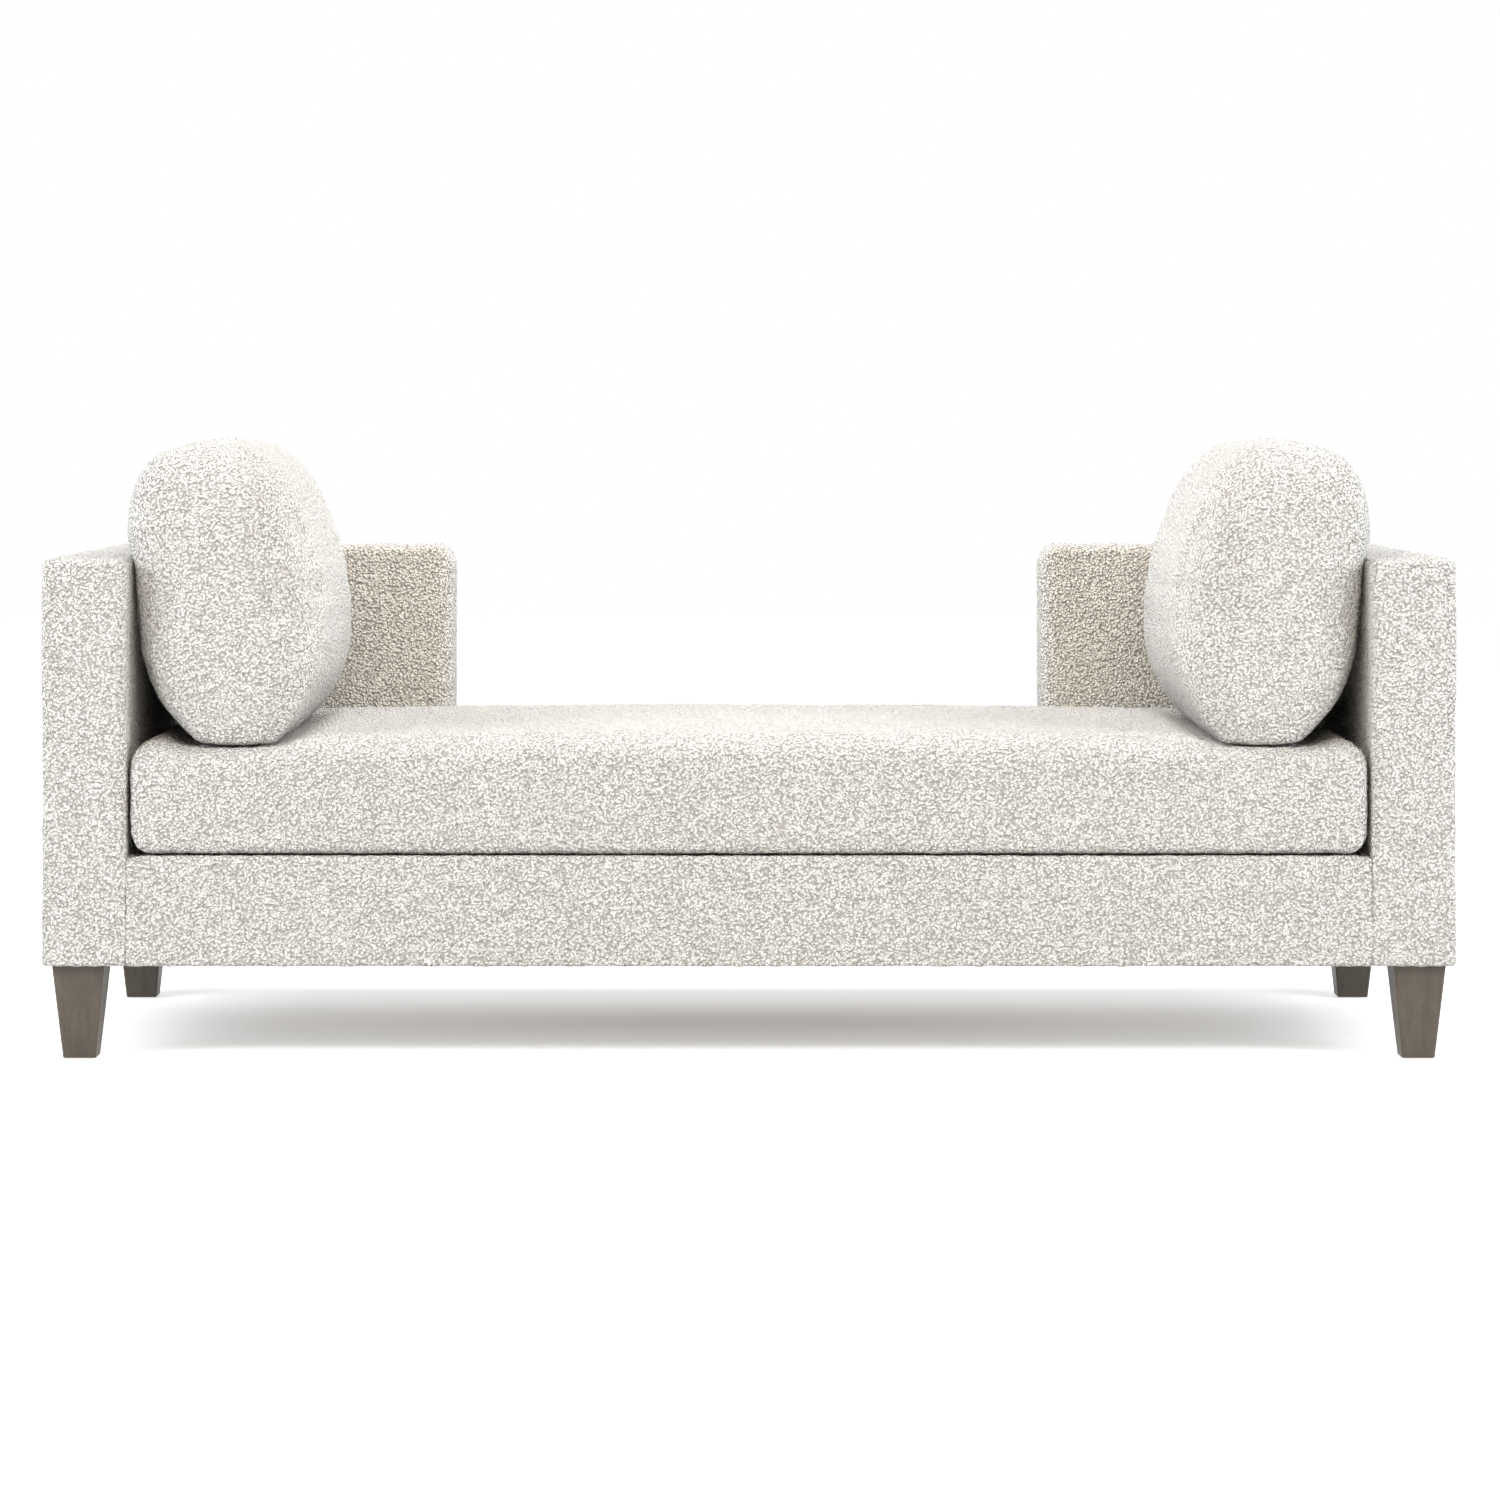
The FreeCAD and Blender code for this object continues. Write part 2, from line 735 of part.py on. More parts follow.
def make_rail_upholstery():
    """Covers and padding of the front rail, and of the back rail with its ledge."""
    z = (underside_height, deck_height)
    x = both(arm_inner - layer_gap)
    low = body_edge_radius
    high = rail_edge_radius
    inner_low = soft(low, cover_thickness)
    inner_high = soft(high, cover_thickness)
    y = (-half_depth, -half_depth + deck_lip_width)
    radii = (low, 0, 0, high)
    front = channel(x, y, z, lip_width, 1, radii, (inner_low, 0, 0, inner_high))
    for notch in leg_notches(notch_clearance, (underside_height - overrun, timber_bottom)):
        front = front.cut(notch)
    parts["front_rail_cover"] = solid_of(front)
    y = (-half_depth + padding_offset, -half_depth + padding_inner_offset)
    parts["front_rail_padding"] = edge_rounded(
        x, y, (timber_bottom, deck_foam_bottom - layer_gap), (soft(low, padding_offset), 0, 0, 0),
    )

    x = both(return_end - layer_gap)
    y = (return_front - ledge_lip_width, half_depth)
    radii = (0, low, high, 0)
    back = channel(x, y, z, lip_width, -1, radii, (0, inner_low, inner_high, 0))
    parts["back_rail_cover"] = solid_of(back)
    pad_rear = half_depth - padding_offset
    ledge = edge_rounded(
        x, (return_front, pad_rear), (deck_foam_bottom, deck_foam_top),
        (0, 0, soft(high, padding_offset), 0),
    )
    upright = edge_rounded(
        x, (half_depth - padding_inner_offset, pad_rear), (timber_bottom, deck_foam_bottom),
        (0, soft(low, padding_offset), 0, 0),
    )
    parts["back_rail_padding"] = ledge.fuse(upright).removeSplitter()


# Legs and their fixings

def tapered_leg(x, y):
    """A square leg that tapers evenly to its foot, its four long edges eased."""
    head = leg_top / 2
    foot = leg_foot / 2
    corners = [(-foot, glide_height), (foot, glide_height), (head, leg_height), (-head, leg_height)]
    corners.append(corners[0])
    front = Part.makePolygon([Vec(u, -head, v) for u, v in corners])
    side = Part.makePolygon([Vec(-head, u, v) for u, v in corners])
    shape = Part.Face(front).extrude(Vec(0, leg_top, 0))
    shape = shape.common(Part.Face(side).extrude(Vec(leg_top, 0, 0)))
    edges = [edge for edge in shape.Edges if edge.BoundBox.ZLength > leg_height / 2]
    shape = shape.makeChamfer(leg_edge_cut, edges)
    shape.translate(Vec(x, y, 0))
    return shape


def screw_places(x, y):
    """The four screw places of a leg plate."""
    half = plate_screw_spread / 2
    return [(x + i * half, y + j * half) for i in (-1, 1) for j in (-1, 1)]


def plate_screw(x, y, grow, tall):
    """A countersunk screw, or the hole for it when grown; its head is flush below."""
    r = plate_screw_radius + grow
    base = leg_plate_bottom
    neck = base + plate_screw_head_height
    wide = rod_outline(x, y, base, plate_screw_head_radius + grow)
    head = Part.makeLoft([wide, rod_outline(x, y, neck, r)], True, True)
    return head.fuse(rod(x, y, (neck, base + tall), r)).removeSplitter()


def make_legs():
    """Four tapered legs, each with a plate, screws, a hanger bolt and a glide."""
    plates = []
    screws = []
    bolts = []
    glides = []
    for name, (x, y) in leg_places.items():
        leg = tapered_leg(x, y)
        bolt_low = leg_height - leg_bolt_in_leg
        drill = leg_bolt_radius + bore_clearance
        leg = leg.cut(rod(x, y, (bolt_low - bore_clearance, leg_height + overrun), drill))
        nail_top = glide_height + glide_nail_length
        drill = glide_nail_radius + bore_clearance
        leg = leg.cut(rod(x, y, (glide_height - overrun, nail_top + bore_clearance), drill))
        parts[name] = solid_of(leg)

        plate_z = (leg_plate_bottom, timber_bottom)
        plate = block(centred(x, leg_plate_size), centred(y, leg_plate_size), plate_z)
        through = (leg_plate_bottom - overrun, timber_bottom + overrun)
        plate = plate.cut(rod(x, y, through, leg_bolt_radius + bore_clearance))
        for sx, sy in screw_places(x, y):
            plate = plate.cut(plate_screw(sx, sy, bore_clearance, plate_screw_length))
            screws.append(plate_screw(sx, sy, 0, plate_screw_length))
        plates.append(solid_of(plate))

        bolt_z = (bolt_low, timber_bottom + leg_bolt_in_frame - bore_clearance)
        bolts.append(rod(x, y, bolt_z, leg_bolt_radius))
        disc = cylinder(x, y, (0, glide_height), glide_radius)
        nail = rod(x, y, (glide_height, nail_top), glide_nail_radius)
        glides.append(disc.fuse(nail))
    parts["leg_plates"] = Part.makeCompound(plates)
    parts["plate_screws"] = Part.makeCompound(screws)
    parts["leg_bolts"] = Part.makeCompound(bolts)
    parts["leg_glides"] = Part.makeCompound([glide.Solids[0] for glide in glides])


# Cushions: each is the space that three swelling prisms share, so its faces are crowned
# and its corners and edges rounded. Layers inside the cover have chords for arcs.

def seat_form(skin, chords):
    """The seat cushion drawn in by a skin, and pressed level where the pillows stand."""
    x = both(arm_inner - cushion_side_gap - skin)
    y = (-half_depth + cushion_front_inset + skin, return_front - cushion_rear_gap - skin)
    z = (deck_height + layer_gap + skin, cushion_top - skin)
    beyond = both(overall_length)
    low = cushion_base_radius - skin
    high = cushion_top_radius - skin
    swells = (0, 0, cushion_crown, cushion_front_swell)
    shape = swelling_prism(
        y, z, beyond, (low, low, high, high), swells, lambda u, v, w: Vec(w, u, v), chords,
    )
    end = cushion_end_swell
    narrow = (x[0] + end, x[1] - end)
    ends = (z[0], cushion_top - cushion_end_drop - skin)
    high = cushion_end_radius - skin
    swells = (0, end, cushion_end_drop + cushion_crown, end)
    shape = shape.common(swelling_prism(
        narrow, ends, beyond, (low, low, high, high), swells, lambda u, v, w: Vec(u, w, v), chords,
    ))
    corner = cushion_corner_radius - skin
    shape = shape.common(swelling_prism(
        x, (y[0] - cushion_front_swell, y[1]), beyond, (corner, corner, corner, corner), (0, 0, 0, 0),
        lambda u, v, w: Vec(u, v, w), chords,
    ))
    dent = pressed_dent(pillow_seat_height - skin)
    return solid_of(shape.cut(dent).cut(mirrored(dent)))


def pressed_dent(level):
    """What a pillow presses out of the seat cushion's top: level, with sloping sides."""
    rise = cushion_top + cushion_crown + overrun
    far = arm_inner - pillow_foot_inset
    near = far - pillow_foot_width
    outline = [
        Vec(near, -overall_depth, level),
        Vec(far, -overall_depth, level),
        Vec(far + pillow_press_ramp, -overall_depth, rise),
        Vec(near - pillow_press_ramp, -overall_depth, rise),
    ]
    face = Part.Face(Part.makePolygon(outline + [outline[0]]))
    return face.extrude(Vec(0, 2 * overall_depth, 0))


def make_seat_cushion():
    """Seat cushion cover with the zip slot in its rear boxing, core, zip and slider."""
    cover = seat_form(0, 0).cut(seat_form(cover_thickness, hidden_chords))
    rear = return_front - cushion_rear_gap
    middle = (deck_height + cushion_top) / 2
    slot_x = both(zip_length / 2 + wood_fit)
    slot_z = centred(middle, zip_tape_width + 2 * wood_fit)
    cover = cover.cut(block(slot_x, (rear - cover_thickness - wood_fit, rear + overrun), slot_z))
    parts["seat_cushion_cover"] = solid_of(cover)
    parts["seat_cushion_core"] = seat_form(cover_thickness + layer_gap, hidden_chords)

    tape_y = (rear - cover_thickness, rear - cover_thickness + zip_tape_thickness)
    tape = block(both(zip_length / 2), tape_y, centred(middle, zip_tape_width))
    chain_y = (tape_y[1], tape_y[1] + zip_chain_height)
    chain = block(both(zip_length / 2), chain_y, centred(middle, zip_chain_width))
    parts["seat_cushion_zip"] = tape.fuse(chain).removeSplitter()

    start = -zip_length / 2 + slider_length
    slider_y = (tape_y[1] + wood_fit, tape_y[1] + wood_fit + slider_height)
    slider = block((start, start + slider_length), slider_y, centred(middle, slider_width))
    channel_y = (slider_y[0] - overrun, chain_y[1] + wood_fit)
    channel_z = centred(middle, zip_chain_width + 2 * wood_fit)
    slider = slider.cut(block((start - overrun, start + slider_length + overrun), channel_y, channel_z))
    pull_z = (middle - slider_width / 2 - pull_length, middle)
    pull_x = centred(start + slider_length / 2, pull_width)
    pull = block(pull_x, (slider_y[1] - pull_thickness, slider_y[1]), pull_z)
    parts["seat_zip_slider"] = solid_of(slider.fuse(pull).removeSplitter())


def pillow_point(across, along, up):
    """A point of the right pillow, in the pillow's own leaning directions."""
    lean = math.radians(pillow_lean)
    half_w = pillow_width / 2 + pillow_side_swell
    middle_x = arm_inner - pillow_arm_gap - half_w / math.cos(lean)
    foot = (pillow_height / 2 - pillow_base_radius) * math.cos(lean) + pillow_base_radius
    foot += (pillow_width / 2 - pillow_base_radius) * math.sin(lean)
    middle_y = -half_depth + pillow_front_setback + pillow_length / 2
    middle_z = pillow_seat_height - pillow_sink + foot
    x = middle_x + across * math.cos(lean) + up * math.sin(lean)
    z = middle_z - across * math.sin(lean) + up * math.cos(lean)
    return Vec(x, middle_y + along, z)


def pillow_form(skin, chords):
    """The right pillow drawn in by a skin, and cut level where it stands."""
    across = pillow_width / 2 - skin
    up = pillow_height / 2 - skin
    along = pillow_length / 2 - skin
    low = pillow_base_radius - skin
    high = pillow_top_radius - skin
    side = pillow_side_swell
    end = pillow_end_swell
    shape = swelling_prism(
        both(across), both(up), both(pillow_length), (low, low, high, high), (end, side, end, side),
        lambda u, v, w: pillow_point(u, w, v), chords,
    )
    swell = pillow_plan_swell
    corner = pillow_plan_radius - skin
    shape = shape.common(swelling_prism(
        both(across + side - swell + pillow_end_relief), both(along - swell), both(pillow_height),
        (corner, corner, corner, corner), (swell, swell, swell, swell),
        lambda u, v, w: pillow_point(u, v, w), chords,
    ))
    swell = pillow_upright_swell
    corner = pillow_upright_radius - skin
    shape = shape.common(swelling_prism(
        both(along - swell), both(up + pillow_end_relief), both(pillow_height),
        (corner, corner, corner, corner), (end, swell, end, swell),
        lambda u, v, w: pillow_point(w, u, v), chords,
    ))
    level = pillow_seat_height + layer_gap + skin
    reach = (arm_inner - pillow_height, half_length + pillow_height)
    under = block(reach, both(overall_depth), (level - pillow_height, level))
    return solid_of(shape.cut(under))


def make_pillows():
    """Pillow covers and their cores."""
    cover = pillow_form(0, pillow_chords).cut(pillow_form(cover_thickness, hidden_chords))
    both_ends("pillow_cover", solid_of(cover))
    both_ends("pillow_core", pillow_form(cover_thickness + layer_gap, hidden_chords))


def main():
    make_arm_layers()
    make_return_layers()
    make_end_boards()
    make_frame()
    make_cross_rails()
    make_suspension()
    make_rail_upholstery()
    make_legs()
    make_seat_cushion()
    make_pillows()
    os.makedirs("parts", exist_ok=True)
    for name, shape in parts.items():
        if not shape.isValid():
            raise ValueError("the shape of %s isn't valid" % name)
        shape.exportStep("parts/%s.step" % name)
        print(name, len(shape.Solids), "solids", round(shape.Volume), "mm3")
    print(len(parts), "nodes")


main()
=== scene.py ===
import json
import math

import bmesh
import bpy
import numpy as np
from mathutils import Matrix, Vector


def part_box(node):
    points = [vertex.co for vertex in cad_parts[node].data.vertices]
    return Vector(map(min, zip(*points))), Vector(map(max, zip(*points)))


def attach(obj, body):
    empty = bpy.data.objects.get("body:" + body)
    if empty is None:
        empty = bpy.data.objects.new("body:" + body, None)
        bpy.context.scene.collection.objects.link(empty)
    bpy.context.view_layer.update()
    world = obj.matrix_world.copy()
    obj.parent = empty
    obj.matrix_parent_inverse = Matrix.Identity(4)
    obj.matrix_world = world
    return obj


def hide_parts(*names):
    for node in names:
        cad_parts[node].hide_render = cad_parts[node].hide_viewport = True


bl_info = {
    "name": "Double-ended chaise longue",
    "version": (1, 0, 0),
    "blender": (4, 5, 0),
    "location": "View3D > Sidebar > Chaise",
    "description": "Dresses the frame of a chaise longue in boucle, padding and stained wood",
    "category": "Object",
}

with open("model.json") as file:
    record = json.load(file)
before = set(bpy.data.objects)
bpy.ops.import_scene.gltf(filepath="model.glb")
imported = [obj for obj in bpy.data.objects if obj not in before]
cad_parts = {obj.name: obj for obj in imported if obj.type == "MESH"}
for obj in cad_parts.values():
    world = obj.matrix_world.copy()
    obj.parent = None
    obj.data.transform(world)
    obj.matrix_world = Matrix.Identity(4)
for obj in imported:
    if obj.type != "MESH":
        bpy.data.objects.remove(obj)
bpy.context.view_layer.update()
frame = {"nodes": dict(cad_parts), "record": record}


def corners(node):
    """The lowest and highest corner of one node at rest."""
    return (np.array(corner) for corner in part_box(node))


BODY_LOW, BODY_HIGH = corners("right_arm_cover")
RAIL_LOW, RAIL_HIGH = corners("front_rail_cover")
LEDGE_LOW, LEDGE_HIGH = corners("back_rail_cover")
RETURN_LOW, RETURN_HIGH = corners("right_return_cover")
SEAT_LOW, SEAT_HIGH = corners("seat_cushion_cover")
HEM = 0.0033  # how far a hidden seam stands over the underside of its box
SLOT = 0.001  # half the width of the slot that closes a box in its middle


# Numbers that vary in space

def hashed(ix, iy, iz, seed):
    """A repeatable number from 0 to 1 for each whole-number corner of space."""
    n = (ix * 73856093) ^ (iy * 19349663) ^ (iz * 83492791) ^ (seed * 2654435761 & 0x7FFFFFFF)
    n = (n ^ (n >> 13)) * 1274126177 & 0x7FFFFFFF
    n = (n ^ (n >> 16)) * 69069 & 0x7FFFFFFF
    return (n & 0xFFFFFF) / float(0xFFFFFF)


def waviness(points, size, seed):
    """Smooth noise from -1 to 1: corner values blended by 3t^2 - 2t^3 inside cells of one size."""
    q = points / size
    base = np.floor(q).astype(np.int64)
    t = q - base
    t = t * t * (3 - 2 * t)
    total = np.zeros(len(points))
    for dx in (0, 1):
        for dy in (0, 1):
            for dz in (0, 1):
                weight = (
                    (t[:, 0] if dx else 1 - t[:, 0])
                    * (t[:, 1] if dy else 1 - t[:, 1])
                    * (t[:, 2] if dz else 1 - t[:, 2])
                )
                total += weight * hashed(base[:, 0] + dx, base[:, 1] + dy, base[:, 2] + dz, seed)
    return total * 2 - 1


def smooth(low, high, value):
    """A ramp 3t^2 - 2t^3 from 0 at low to 1 at high."""
    t = np.clip((value - low) / (high - low), 0, 1)
    return t * t * (3 - 2 * t)


# Meshes from arrays

def shade_smooth(mesh):
    """Marks every face of a mesh as smooth."""
    mesh.polygons.foreach_set("use_smooth", np.ones(len(mesh.polygons), bool))


def link_mesh(name, points, faces):
    """A smooth-shaded object from an array of points and an array of quads or triangles."""
    mesh = bpy.data.meshes.new(name)
    count = faces.shape[1]
    mesh.vertices.add(len(points))
    mesh.vertices.foreach_set("co", np.ascontiguousarray(points, np.float32).ravel())
    mesh.loops.add(faces.size)
    mesh.loops.foreach_set("vertex_index", np.ascontiguousarray(faces, np.int32).ravel())
    mesh.polygons.add(len(faces))
    mesh.polygons.foreach_set("loop_start", np.arange(len(faces), dtype=np.int32) * count)
    mesh.update(calc_edges=True)
    mesh.validate()
    shade_smooth(mesh)
    obj = bpy.data.objects.new(name, mesh)
    bpy.context.collection.objects.link(obj)
    return obj


def weld(obj, distance, closing=False):
    """Merges doubled points and turns all faces outwards; closing fills each open ring flat."""
    work = bmesh.new()
    work.from_mesh(obj.data)
    bmesh.ops.remove_doubles(work, verts=work.verts, dist=distance)
    if closing:
        open_edges = [edge for edge in work.edges if edge.is_boundary]
        bmesh.ops.holes_fill(work, edges=open_edges, sides=0)
        bmesh.ops.triangulate(work, faces=[face for face in work.faces if len(face.verts) > 4])
    else:
        bmesh.ops.dissolve_degenerate(work, edges=work.edges, dist=distance / 4)
    bmesh.ops.recalc_face_normals(work, faces=work.faces)
    work.to_mesh(obj.data)
    work.free()
    shade_smooth(obj.data)


def grid_faces(rows, columns, closed=False, keep=None):
    """Quads (i, j), (i, j+1), (i+1, j+1), (i+1, j) of a grid of points, stored row by row.

    In a closed grid the last column meets the first. keep is a mask of the cells that stay.
    """
    cells = columns if closed else columns - 1
    i, j = np.meshgrid(np.arange(rows - 1), np.arange(cells), indexing="ij")
    after = (j + 1) % columns
    row, below = i * columns, (i + 1) * columns
    quads = np.stack([row + j, row + after, below + after, below + j], -1).reshape(-1, 4)
    return quads if keep is None else quads[keep.ravel()]


def coordinates(obj):
    """The points of an object's mesh as an array."""
    points = np.empty(len(obj.data.vertices) * 3, np.float32)
    obj.data.vertices.foreach_get("co", points)
    return points.reshape(-1, 3).astype(float)


def set_coordinates(obj, points):
    """Puts an array of points back into an object's mesh."""
    obj.data.vertices.foreach_set("co", np.ascontiguousarray(points, np.float32).ravel())
    obj.data.update()


def directions(obj):
    """The outward direction of the surface at each point."""
    normals = np.empty(len(obj.data.vertices) * 3, np.float32)
    obj.data.vertices.foreach_get("normal", normals)
    return normals.reshape(-1, 3).astype(float)


def roughen(obj, seed, levels, loops=0.0008, sway=0.0012, inward=0.0009):
    """Moves each point along its direction by loops*n(7 mm) + loops*n(13 mm) + sway*n(150 mm).

    Near each of the levels, where an edge runs straight, the sway fades to nothing. A move
    inwards is bent over by tanh so that it stays below inward.
    """
    points = coordinates(obj)
    move = loops * (waviness(points, 0.007, seed) + 0.8 * waviness(points, 0.013, seed + 1))
    slow = sway * (waviness(points, 0.15, seed + 2) + 0.5 * waviness(points, 0.06, seed + 3))
    for level in levels:
        slow *= smooth(0.010, 0.080, np.abs(points[:, 2] - level))
    move += slow
    move = np.where(move < 0, inward * np.tanh(move / inward), move)
    set_coordinates(obj, points + directions(obj) * move[:, None])


def upholstered_box(name, low, high, plan, top, base, lip, lift, step):
    """A closed upholstered box: rings of one outline, drawn in along a vertical profile.

    Each ring is the rectangle low..high drawn in by d on each side, with corner radii plan - d.
    Going up, d runs through lip (underneath), base*(1 - cos a), 0, top*(1 - cos a) and on to
    the middle; the height follows base*(1 - sin a) and top*(1 - sin a). plan holds four corner
    radii, or functions of height; top, base, lip and lift hold one value for each side, in
    the order front, right, back, left, blended round the corners. The first and last ring
    leave a narrow slot, which is closed flat.
    """
    corner_steps = 6
    sides = [high[0] - low[0], high[1] - low[1], high[0] - low[0], high[1] - low[1]]
    place = []
    for k in range(4):
        count = max(int(sides[k] / step), 4)
        place.append(k + 0.5 * np.linspace(0, 1, count, endpoint=False))
        place.append(k + 0.5 + 0.5 * np.linspace(0, 1, corner_steps, endpoint=False))
    place = np.concatenate(place)
    side = np.floor(place).astype(int)
    along = np.clip((place - side) * 2, 0, 1)
    turn = np.clip((place - side) * 2 - 1, 0, 1)
    ahead = np.array([(1.0, 0.0), (0.0, 1.0), (-1.0, 0.0), (0.0, -1.0)])
    after = np.roll(ahead, -1, axis=0)

    def around(values):
        """Four values, one for each side, blended round the corners."""
        change = values[(side + 1) % 4] - values[side]
        return values[side] + change * turn * turn * (3 - 2 * turn)

    def ring(draw, height):
        """The outline drawn in by four distances, at a height."""
        x = (low[0] + draw[3], high[0] - draw[1])
        y = (low[1] + draw[0], high[1] - draw[2])
        radii = []
        for k in range(4):
            size = plan[k](np.mean(height)) if callable(plan[k]) else plan[k]
            inner = max(size - max(draw[k], draw[(k + 1) % 4]), 0.0004)
            radii.append(min(inner, abs(x[1] - x[0]) / 2, abs(y[1] - y[0]) / 2))
        radii = np.array(radii)[:, None]
        corner = np.array([(x[1], y[0]), (x[1], y[1]), (x[0], y[1]), (x[0], y[0])])
        start = np.roll(corner + after * radii, 1, axis=0)
        end = corner - ahead * radii
        centre = corner + (after - ahead) * radii
        angle = (side + turn - 1) * math.pi / 2
        arc = centre[side] + radii[side] * np.stack([np.cos(angle), np.sin(angle)], -1)
        line = start[side] + (end[side] - start[side]) * along[:, None]
        flat = np.where((turn > 0)[:, None], arc, line)
        return np.column_stack([flat, np.broadcast_to(height, len(place))])

    top, base, lip, lift = (np.asarray(v, float) for v in (top, base, lip, lift))
    rings = []
    half = min(high[0] - low[0], high[1] - low[1]) / 2
    ceiling = low[2] + max(lift.max(), HEM)
    for share in np.linspace(1, 0, max(int((half - lip.max()) / step / 2), 3))[:-1]:
        rings.append(ring(lip + (half - SLOT - lip) * share, ceiling))
    rings.append(ring(lip, ceiling))
    rings.append(ring(lip, around(low[2] + lift)))
    for share in np.linspace(1, 0, 4)[1:-1]:
        rings.append(ring(base + (np.maximum(lip, base) - base) * share, around(low[2] + lift)))
    for a in np.linspace(0, math.pi / 2, 5):
        rings.append(ring(base * (1 - math.sin(a)), around(low[2] + lift + base * (1 - math.cos(a)))))
    rise = np.linspace(0, 1, max(int((high[2] - low[2]) / step), 3))[1:-1]
    foot = around(low[2] + lift + base)
    head = around(high[2] - top)
    for share in rise:
        rings.append(ring(np.zeros(4), foot + (head - foot) * share))
    for a in np.linspace(0, math.pi / 2, 8):
        rings.append(ring(top * (1 - math.cos(a)), around(high[2] - top * (1 - math.sin(a)))))
    for share in np.linspace(0, 1, max(int((half - top.min()) / step), 3))[1:]:
        rings.append(ring(top + (half - SLOT - top) * share, high[2]))
    obj = link_mesh(name, np.concatenate(rings), grid_faces(len(rings), len(place), closed=True))
    weld(obj, 0.00001, closing=True)
    return obj


CLOTH_STEPS = 20


def inflate(obj, voxel, pressure, cap):
    """Remeshes a closed piece evenly and lets the air in it press its cloth out for a few steps.

    No point ends further than the cap from where it began. One subdivision follows.
    """
    remesh = obj.modifiers.new("remesh", "REMESH")
    remesh.mode = "VOXEL"
    remesh.voxel_size = voxel
    remesh.use_smooth_shade = True
    apply_modifier(obj, "remesh")
    start = coordinates(obj)
    cloth = obj.modifiers.new("cloth", "CLOTH")
    settings = cloth.settings
    settings.quality = 4
    settings.mass = 0.35
    settings.tension_stiffness = 20
    settings.compression_stiffness = 20
    settings.bending_stiffness = 1.5
    settings.use_pressure = True
    settings.uniform_pressure_force = pressure
    settings.effector_weights.gravity = 0
    cloth.point_cache.frame_start = 1
    cloth.point_cache.frame_end = CLOTH_STEPS
    scene = bpy.context.scene
    for step in range(1, CLOTH_STEPS + 1):
        scene.frame_set(step)
    posed = obj.evaluated_get(bpy.context.evaluated_depsgraph_get())
    end = np.empty(len(start) * 3, np.float32)
    posed.data.vertices.foreach_get("co", end)
    move = end.reshape(-1, 3) - start
    size = np.linalg.norm(move, axis=1)
    move *= (np.minimum(size, cap) / np.maximum(size, 1e-9))[:, None]
    obj.modifiers.remove(cloth)
    scene.frame_set(1)
    set_coordinates(obj, start + move)
    obj.modifiers.new("finer", "SUBSURF").levels = 1
    apply_modifier(obj, "finer")
    shade_smooth(obj.data)


def apply_modifier(obj, name):
    """Applies one modifier."""
    with bpy.context.temp_override(object=obj, active_object=obj, selected_objects=[obj]):
        bpy.ops.object.modifier_apply(modifier=name)


def mirrored(obj, name):
    """The same piece on the other side of the middle plane: x becomes -x, faces turned back."""
    copy = obj.copy()
    copy.data = obj.data.copy()
    copy.name = name
    copy.data.name = name
    bpy.context.collection.objects.link(copy)
    points = coordinates(copy)
    points[:, 0] *= -1
    set_coordinates(copy, points)
    copy.data.flip_normals()
    return copy


# Shader maths: sockets as numbers

class Socket:
    """An output of a shader node; arithmetic on it adds Math nodes."""

    def __init__(self, tree, output):
        self.tree = tree
        self.output = output

    def math(self, operation, *values):
        return self.tree.add("ShaderNodeMath", {"operation": operation}, dict(enumerate((self,) + values)))

    def __add__(self, other):
        return self.math("ADD", other)

    def __sub__(self, other):
        return self.math("SUBTRACT", other)

    def __mul__(self, other):
        return self.math("MULTIPLY", other)

    def __truediv__(self, other):
        return self.math("DIVIDE", other)

    def __rsub__(self, other):
        return (self * -1) + other

    __radd__ = __add__

    def clamped(self):
        """Held between 0 and 1."""
        return self.math("MAXIMUM", 0.0).math("MINIMUM", 1.0)

    def ramp(self, low, high):
        """0 at low and 1 at high, held beyond."""
        return ((self - low) / (high - low)).clamped()

    def window(self, rise, full, fall, gone):
        """1 from full to fall, with ramps that begin at rise and end at gone."""
        return self.ramp(rise, full) * (1.0 - self.ramp(fall, gone))


class Tree:
    """The nodes of the world, or of a material."""

    def __init__(self, holder, output):
        holder.use_nodes = True
        self.nodes = holder.node_tree.nodes
        self.links = holder.node_tree.links
        self.nodes.clear()
        self.out = self.nodes.new(output)

    def add(self, kind, settings, values, result=0):
        """A node of any kind: its settings first, then values or links for its sockets."""
        node = self.nodes.new(kind)
        for name, value in settings.items():
            setattr(node, name, value)
        for key, value in values.items():
            self.feed(node.inputs[key], value)
        return Socket(self, node.outputs[result])

    def feed(self, entry, value):
        """Links a socket to an entry, or sets the entry to a plain value."""
        if isinstance(value, Socket):
            self.links.new(value.output, entry)
        else:
            entry.default_value = value

    def show(self, shader):
        """Sends a shader to the output."""
        self.feed(self.out.inputs[0], shader)

    def background_rays(self):
        """1 for the rays that see the white background: the camera's, and those of gloss and glass."""
        kinds = ("Is Camera Ray", "Is Glossy Ray", "Is Transmission Ray")
        camera, gloss, glass = (self.add("ShaderNodeLightPath", {}, {}, kind) for kind in kinds)
        return (camera + gloss + glass).clamped()


